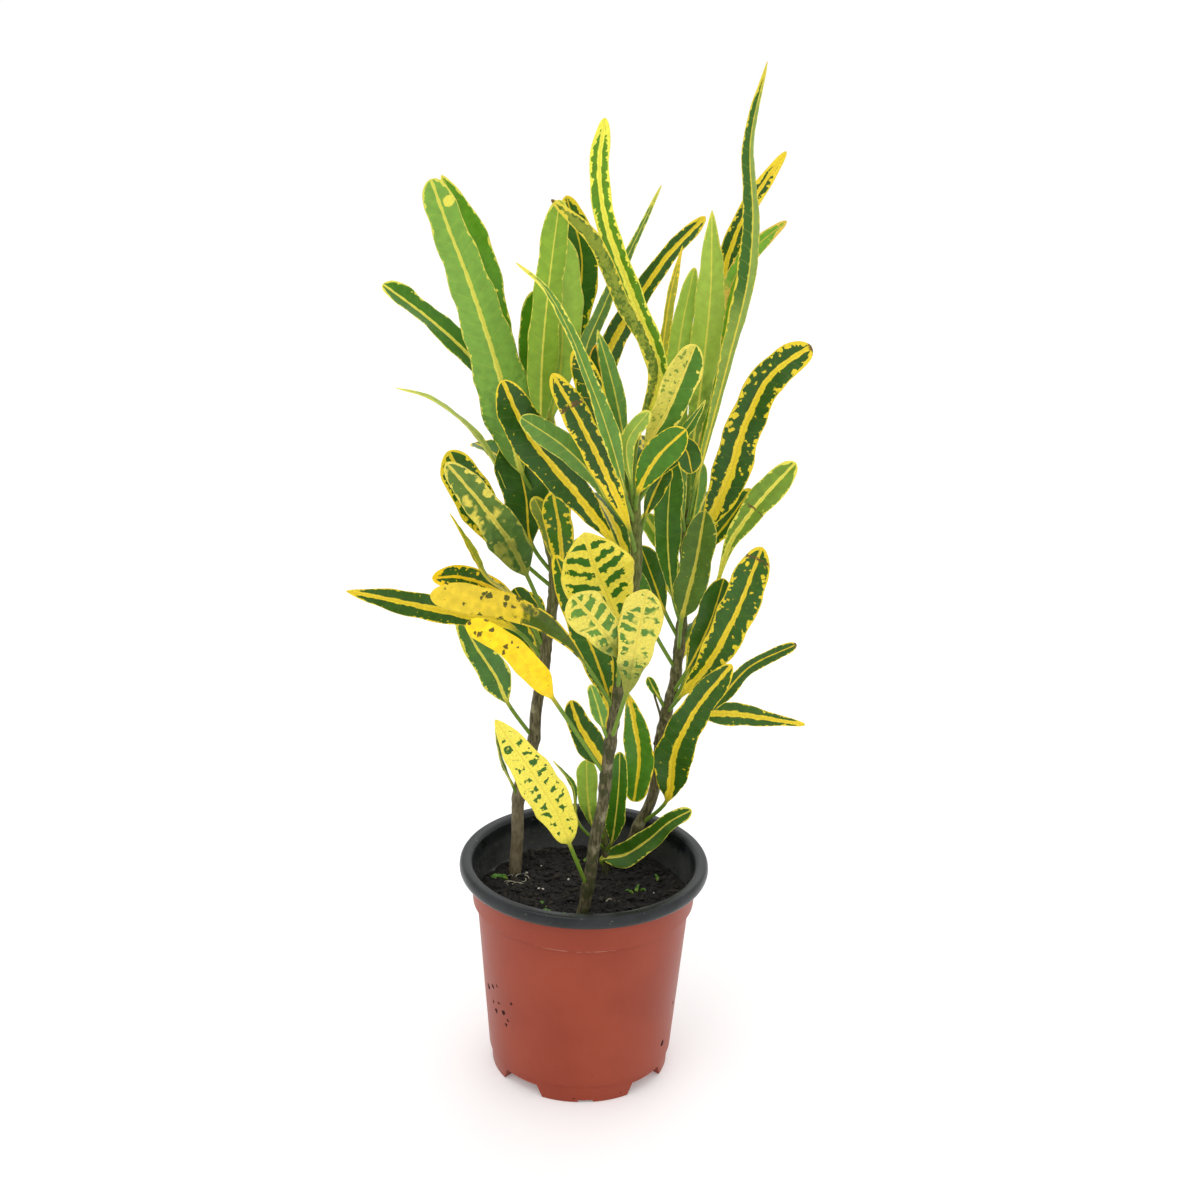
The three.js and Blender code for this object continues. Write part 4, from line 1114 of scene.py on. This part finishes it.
def leafy_stem(name, rng):
    sheaf = Sheaf()
    roots = []
    for i, (look, root, width, outline, line, *turned) in enumerate(LEAVES[name]):
        on_blade = isinstance(root, tuple)
        start = seen(root) if on_blade else stem_point(name, root)
        if not on_blade:
            roots.append(start)
        points = [start] + [seen(point) for point in line]
        add_leaf(sheaf, points, width, outline, facing_eye(*turned), i, PAINTS[look], rng, (name, i))
    own = [plan[1:] for plan in BACK_LEAVES if plan[0] == name]
    for i, (height, compass, rise, length, width) in enumerate(own):
        points = back_leaf_points(name, height, compass, rise, length)
        roots.append(points[0])
        look = PAINTS[BACK_PAINTS[i % len(BACK_PAINTS)]]
        add_leaf(sheaf, points, width, ROUND, facing_sky, i + 1, look, rng)
    add_stem(sheaf, name, roots, rng)
    if name == "right":
        twig = Curve([seen(point) for point in TWIG])
        add_tube(sheaf, twig, lambda share: TWIG_RADIUS * (1 - 0.3 * share), TWIG_SIDES, TWIG_STEP,
                 np.zeros_like, rng, TWIG_ROUGH)
    return sheaf


# Pot

def lathe(profile, sides):
    """A closed solid of revolution; the profile runs from its bottom to its top."""
    angle = np.linspace(0, 2 * np.pi, sides, endpoint=False)
    return np.vstack([circle(radius, z, angle) for radius, z in profile]), ring_faces(len(profile), sides)


def temporary(points, faces):
    sheaf = Sheaf()
    sheaf.add(points, faces)
    return sheaf.object("cutter", [], smooth=False)


def box_solid(length, width, bottom, top, turn, x=0.0, flare=0.0):
    """A bar whose foot is wider than its top by the flare on each side."""
    c, s = math.cos(math.radians(turn)), math.sin(math.radians(turn))
    points = []
    for z, half in ((bottom, width / 2 + flare), (top, width / 2)):
        for i, j in ((-1, -1), (1, -1), (1, 1), (-1, 1)):
            u, v = x + i * length / 2, j * half
            points.append((c * u - s * v, s * u + c * v, z))
    return temporary(np.array(points), ring_faces(2, 4))


def combine(target, operation, other):
    modifier = target.modifiers.new("cut", "BOOLEAN")
    modifier.operation = operation
    modifier.solver = "EXACT"
    modifier.object = other
    done = bpy.data.meshes.new_from_object(target.evaluated_get(bpy.context.evaluated_depsgraph_get()))
    target.modifiers.clear()
    old = target.data
    target.data = done
    bpy.data.meshes.remove(old)
    bpy.data.objects.remove(other)


def lip_arc():
    """The round outer edge of the lip, from its foot to its top."""
    bead = LIP_HEIGHT / 2
    angles = np.radians(np.linspace(-90, 90, LIP_STEPS))
    return [(RIM_RADIUS - LIP_ROUND + LIP_ROUND * math.cos(a), POT_HEIGHT - bead + bead * math.sin(a))
            for a in angles]


def pot_outside():
    ledge = POT_HEIGHT - LIP_HEIGHT
    lip = RIM_RADIUS - LIP_ROUND
    wall_foot = HEEL_HEIGHT + HEEL_STEP
    wall_height = COLLAR_FOOT_HEIGHT - 2.2 - HEEL_HEIGHT
    widening = BODY_TOP_RADIUS - BODY_FOOT_RADIUS
    return [
        (HEEL_RADIUS - 0.8, 0), (HEEL_RADIUS - 0.2, 0.25), (HEEL_RADIUS, 0.8),
        (HEEL_RADIUS + HEEL_FLARE, HEEL_HEIGHT), (HEEL_RADIUS + 0.9, HEEL_HEIGHT + 0.35),
        (BODY_FOOT_RADIUS, wall_foot),
        *((BODY_FOOT_RADIUS + widening * share, wall_foot + wall_height * share) for share in WALL_SHARES),
        (BODY_TOP_RADIUS + 0.4, COLLAR_FOOT_HEIGHT - 1.0), (COLLAR_FOOT_RADIUS - 0.5, COLLAR_FOOT_HEIGHT),
        (COLLAR_FOOT_RADIUS - 0.1, COLLAR_FOOT_HEIGHT + 0.4), (COLLAR_FOOT_RADIUS, COLLAR_FOOT_HEIGHT + 1.0),
        (COLLAR_TOP_RADIUS - 0.1, ledge - 1), (COLLAR_TOP_RADIUS, ledge),
        (lip - 1, ledge), *lip_arc(), (lip - 1.4, POT_HEIGHT),
    ]


def pot_inside():
    mouth = COLLAR_TOP_RADIUS - WALL
    bend = MOUTH_ROUND
    angles = np.radians(range(10, 90, 12))
    return [
        (HEEL_RADIUS - WALL, FLOOR), (HEEL_RADIUS + HEEL_FLARE - WALL, HEEL_HEIGHT),
        (BODY_FOOT_RADIUS - WALL, HEEL_HEIGHT + HEEL_STEP),
        (BODY_TOP_RADIUS - WALL, COLLAR_FOOT_HEIGHT - 1.2),
        (COLLAR_FOOT_RADIUS - WALL - 0.6, COLLAR_FOOT_HEIGHT),
        (COLLAR_FOOT_RADIUS - WALL, COLLAR_FOOT_HEIGHT + 0.8), (mouth, POT_HEIGHT - bend),
        *((mouth + bend - bend * math.cos(a), POT_HEIGHT - bend + bend * math.sin(a)) for a in angles),
        (mouth + bend, POT_HEIGHT), (mouth + bend, POT_HEIGHT + 1),
    ]


def cross_bars(width, bottom, top):
    bars, other = (box_solid(2 * RIM_RADIUS, width, bottom, top, CHANNEL_TURN + turn, flare=CHANNEL_FLARE)
                   for turn in (0, 90))
    combine(bars, "UNION", other)
    return bars


def cut_drain(pot, place):
    points, faces = lathe([(DRAIN_RADIUS, 0.0), (DRAIN_RADIUS, HEEL_HEIGHT)], DRAIN_SIDES)
    combine(pot, "DIFFERENCE", temporary(points + place, faces))


def colour_pot(mesh):
    """The inside and the lip are charcoal, and the rest is terracotta."""
    mesh.materials.clear()
    mesh.materials.append(pot_outside_material())
    mesh.materials.append(pot_inside_material())
    lip_foot = (POT_HEIGHT - LIP_HEIGHT - 0.05) * MM
    past_drains, inwards, upwards, near_floor = 0.03, -0.3, 0.5, 0.02
    for polygon in mesh.polygons:
        x, y, z = polygon.center
        nx, ny, nz = polygon.normal
        radius = math.hypot(x, y)
        faces_axis = radius > past_drains and (nx * x + ny * y) / radius < inwards
        inside = faces_axis and z > HEEL_HEIGHT * MM or nz > upwards and z < near_floor
        polygon.material_index = int(z > lip_foot or inside)
        polygon.use_smooth = True
    mesh.set_sharp_from_angle(angle=math.radians(SHARP_ANGLE))


def build_pot():
    pot = temporary(*lathe(pot_outside(), POT_SIDES))
    inside = temporary(*lathe(pot_inside(), POT_SIDES))
    combine(inside, "DIFFERENCE", cross_bars(CHANNEL_WIDTH + 2 * WALL, 0.0, CHANNEL_HEIGHT + FLOOR))
    combine(pot, "DIFFERENCE", inside)
    combine(pot, "DIFFERENCE", cross_bars(CHANNEL_WIDTH, -1.0, CHANNEL_HEIGHT))
    cut_drain(pot, np.zeros(3))
    for turn in range(0, 360, 90):
        bar = CHANNEL_TURN + turn
        cut_drain(pot, DRAIN_DISTANCE * heading(bar))
        notch = box_solid(NOTCH_LENGTH, NOTCH_WIDTH, -NOTCH_HEIGHT, NOTCH_HEIGHT, bar + 45, HEEL_RADIUS)
        combine(pot, "DIFFERENCE", notch)
    pot.name = "nursery_pot"
    colour_pot(pot.data)
    settle(pot, "pot", slot="pot_plastic")


# Soil

def hills(x, y):
    """The height of the soil above its level."""
    rolling = 0.9 * np.sin(x * 0.11 + 0.6) * np.cos(y * 0.09 - 0.4) + 0.5 * np.sin(x * 0.31 + y * 0.27)
    return rolling + 0.35 * np.sin(x * 0.83 - y * 0.61 + 1.3) * np.sin(y * 1.1) - 0.6


def ground(x, y):
    return SOIL_LEVEL + float(hills(x, y))


def build_soil(rng):
    angle = np.linspace(0, 2 * np.pi, SOIL_SIDES, endpoint=False)
    inside = WALL + SOIL_GAP
    points = [circle(BODY_FOOT_RADIUS - inside, HEEL_HEIGHT + 1.2, angle),
              circle(BODY_TOP_RADIUS - inside, COLLAR_FOOT_HEIGHT - 2, angle)]
    for radius in np.linspace(COLLAR_FOOT_RADIUS - WALL - 0.7, 1.0, SOIL_RINGS):
        grain = rng.normal(0, SOIL_GRAIN, SOIL_SIDES) * min(1, radius / 12)
        height = SOIL_LEVEL + hills(radius * np.cos(angle), radius * np.sin(angle)) + grain
        points.append(circle(radius, height, angle))
    sheaf = Sheaf()
    sheaf.add(np.vstack(points), ring_faces(len(points), SOIL_SIDES))
    settle(sheaf.object("potting_soil", [soil_material()]), "soil", slot="soil")


def chunk(size, stretch, rng):
    """One crumb: a rough ball with its corners pushed about, stretched and turned."""
    mesh = bmesh.new()
    bmesh.ops.create_icosphere(mesh, subdivisions=1, radius=1.0)
    points = np.array([v.co for v in mesh.verts])
    faces = [tuple(v.index for v in f.verts) for f in mesh.faces]
    mesh.free()
    points = points * rng.uniform(*CRUMB_CORNERS, (len(points), 1))
    points = points * np.array([stretch, 1.0, rng.uniform(*CRUMB_FLATNESS)])
    turn, tilt = rng.uniform(0, 2 * np.pi), rng.uniform(-CRUMB_TILT, CRUMB_TILT)
    c, s = math.cos(turn), math.sin(turn)
    ct, st = math.cos(tilt), math.sin(tilt)
    tilted = points @ np.array([[ct, 0, st], [0, 1, 0], [-st, 0, ct]])
    return tilted @ np.array([[c, s, 0], [-s, c, 0], [0, 0, 1]]) * size, faces


def build_crumbs(rng):
    sheaf = Sheaf()
    reach = COLLAR_FOOT_RADIUS - WALL - 2.6
    for i in range(CRUMBS):
        radius, angle = reach * math.sqrt(rng.uniform(0, 1)), rng.uniform(0, 2 * np.pi)
        x, y = radius * math.cos(angle), radius * math.sin(angle)
        grain = i % GRAIN_EVERY == 0
        size = rng.uniform(*GRAIN_SIZES) if grain else CRUMB_LEAST + rng.gamma(2.0, 0.32)
        stretch = 1.0 if grain else rng.choice(CRUMB_STRETCHES)
        points, faces = chunk(min(size, CRUMB_MOST), stretch, rng)
        if grain:
            tint = GRAIN_TINTS[i // GRAIN_EVERY % len(GRAIN_TINTS)]
        else:
            tint = CRUMB_TINTS[rng.integers(len(CRUMB_TINTS))]
        points = points + np.array([x, y, ground(x, y) + 0.25 * size])
        sheaf.add(points, faces, tint=np.tile(tint, (len(points), 1)))
    settle(sheaf.object("soil_crumbs", [crumb_material()], smooth=False), slot="soil")


def build_litter(materials, rng):
    sheaf = Sheaf()
    for i, (x, y, compass, length, width) in enumerate(SPROUTS):
        start = np.array([x, y, ground(x, y)])
        points = [start + heading(compass) * length * share + UP * rise for share, rise in SPROUT_ARCH]
        add_leaf(sheaf, points, width, ROUND, facing_sky, i, PAINTS["sprout"], rng)
    for x, y, compass, length in THREADS:
        out, aside = heading(compass), heading(compass + 90)
        points = []
        for share, bend, rise in THREAD_BEND:
            point = np.array([x, y, 0.0]) + out * length * share + aside * length * bend
            points.append(point + UP * (ground(point[0], point[1]) + rise))
        add_tube(sheaf, Curve(points), lambda share: THREAD_RADIUS * (1.2 - share), THREAD_SIDES, THREAD_STEP,
                 lambda share: ROOT_AGE + 0 * share, rng)
    settle(sheaf.object("soil_litter", materials), slot="foliage")


# Camera, light and floor

def look_from(eye, pitch_down, roll):
    camera = link_object("camera", bpy.data.cameras.new("camera"))
    bpy.context.scene.camera = camera
    camera.data.sensor_width = SENSOR_MM
    camera.data.lens = FOCAL_MM
    camera.data.clip_end = 50
    camera.location = tuple(eye * MM)
    camera.rotation_mode = "XYZ"
    camera.rotation_euler = (math.radians(90 - pitch_down), 0, 0)
    bpy.context.view_layer.update()
    camera.rotation_euler.rotate_axis("Z", math.radians(roll))


def area_light(name, place, size, power):
    light = bpy.data.lights.new(name, "AREA")
    light.energy = power
    light.size = size
    lamp = link_object(name, light)
    lamp.location = place
    aim = LIGHT_AIM - np.array(place)
    yaw = math.atan2(aim[1], aim[0])
    lamp.rotation_euler = (math.acos(-aim[2] / np.linalg.norm(aim)), 0, yaw - math.pi / 2)


def stage():
    floor = Sheaf()
    corners = np.array([(-1, -1, 0), (1, -1, 0), (1, 1, 0), (-1, 1, 0)]) * FLOOR_REACH
    floor.add(corners, [(0, 1, 2, 3)])
    floor.object("floor", [floor_material()])
    world = bpy.data.worlds.new("studio")
    bpy.context.scene.world = world
    world.use_nodes = True
    background = world.node_tree.nodes["Background"]
    background.inputs["Color"].default_value = (1.0, 1.0, 1.0, 1)
    background.inputs["Strength"].default_value = SKY_STRENGTH
    for name, place, size, power in LIGHTS:
        area_light(name, place, size, power)
    bpy.context.scene.view_settings.view_transform = "Standard"


rng = np.random.default_rng(SEED)
look_from(EYE, PITCH_DOWN, ROLL)
stage()
build_pot()
build_soil(rng)
build_crumbs(rng)
stem_materials = [leaf_material(), bark_material()]
build_litter(stem_materials, rng)
for name in STEMS:
    piece = leafy_stem(name, rng).object(f"croton_{name}", stem_materials)
    settle(piece, f"leafy_stem_{name}", slot="foliage")
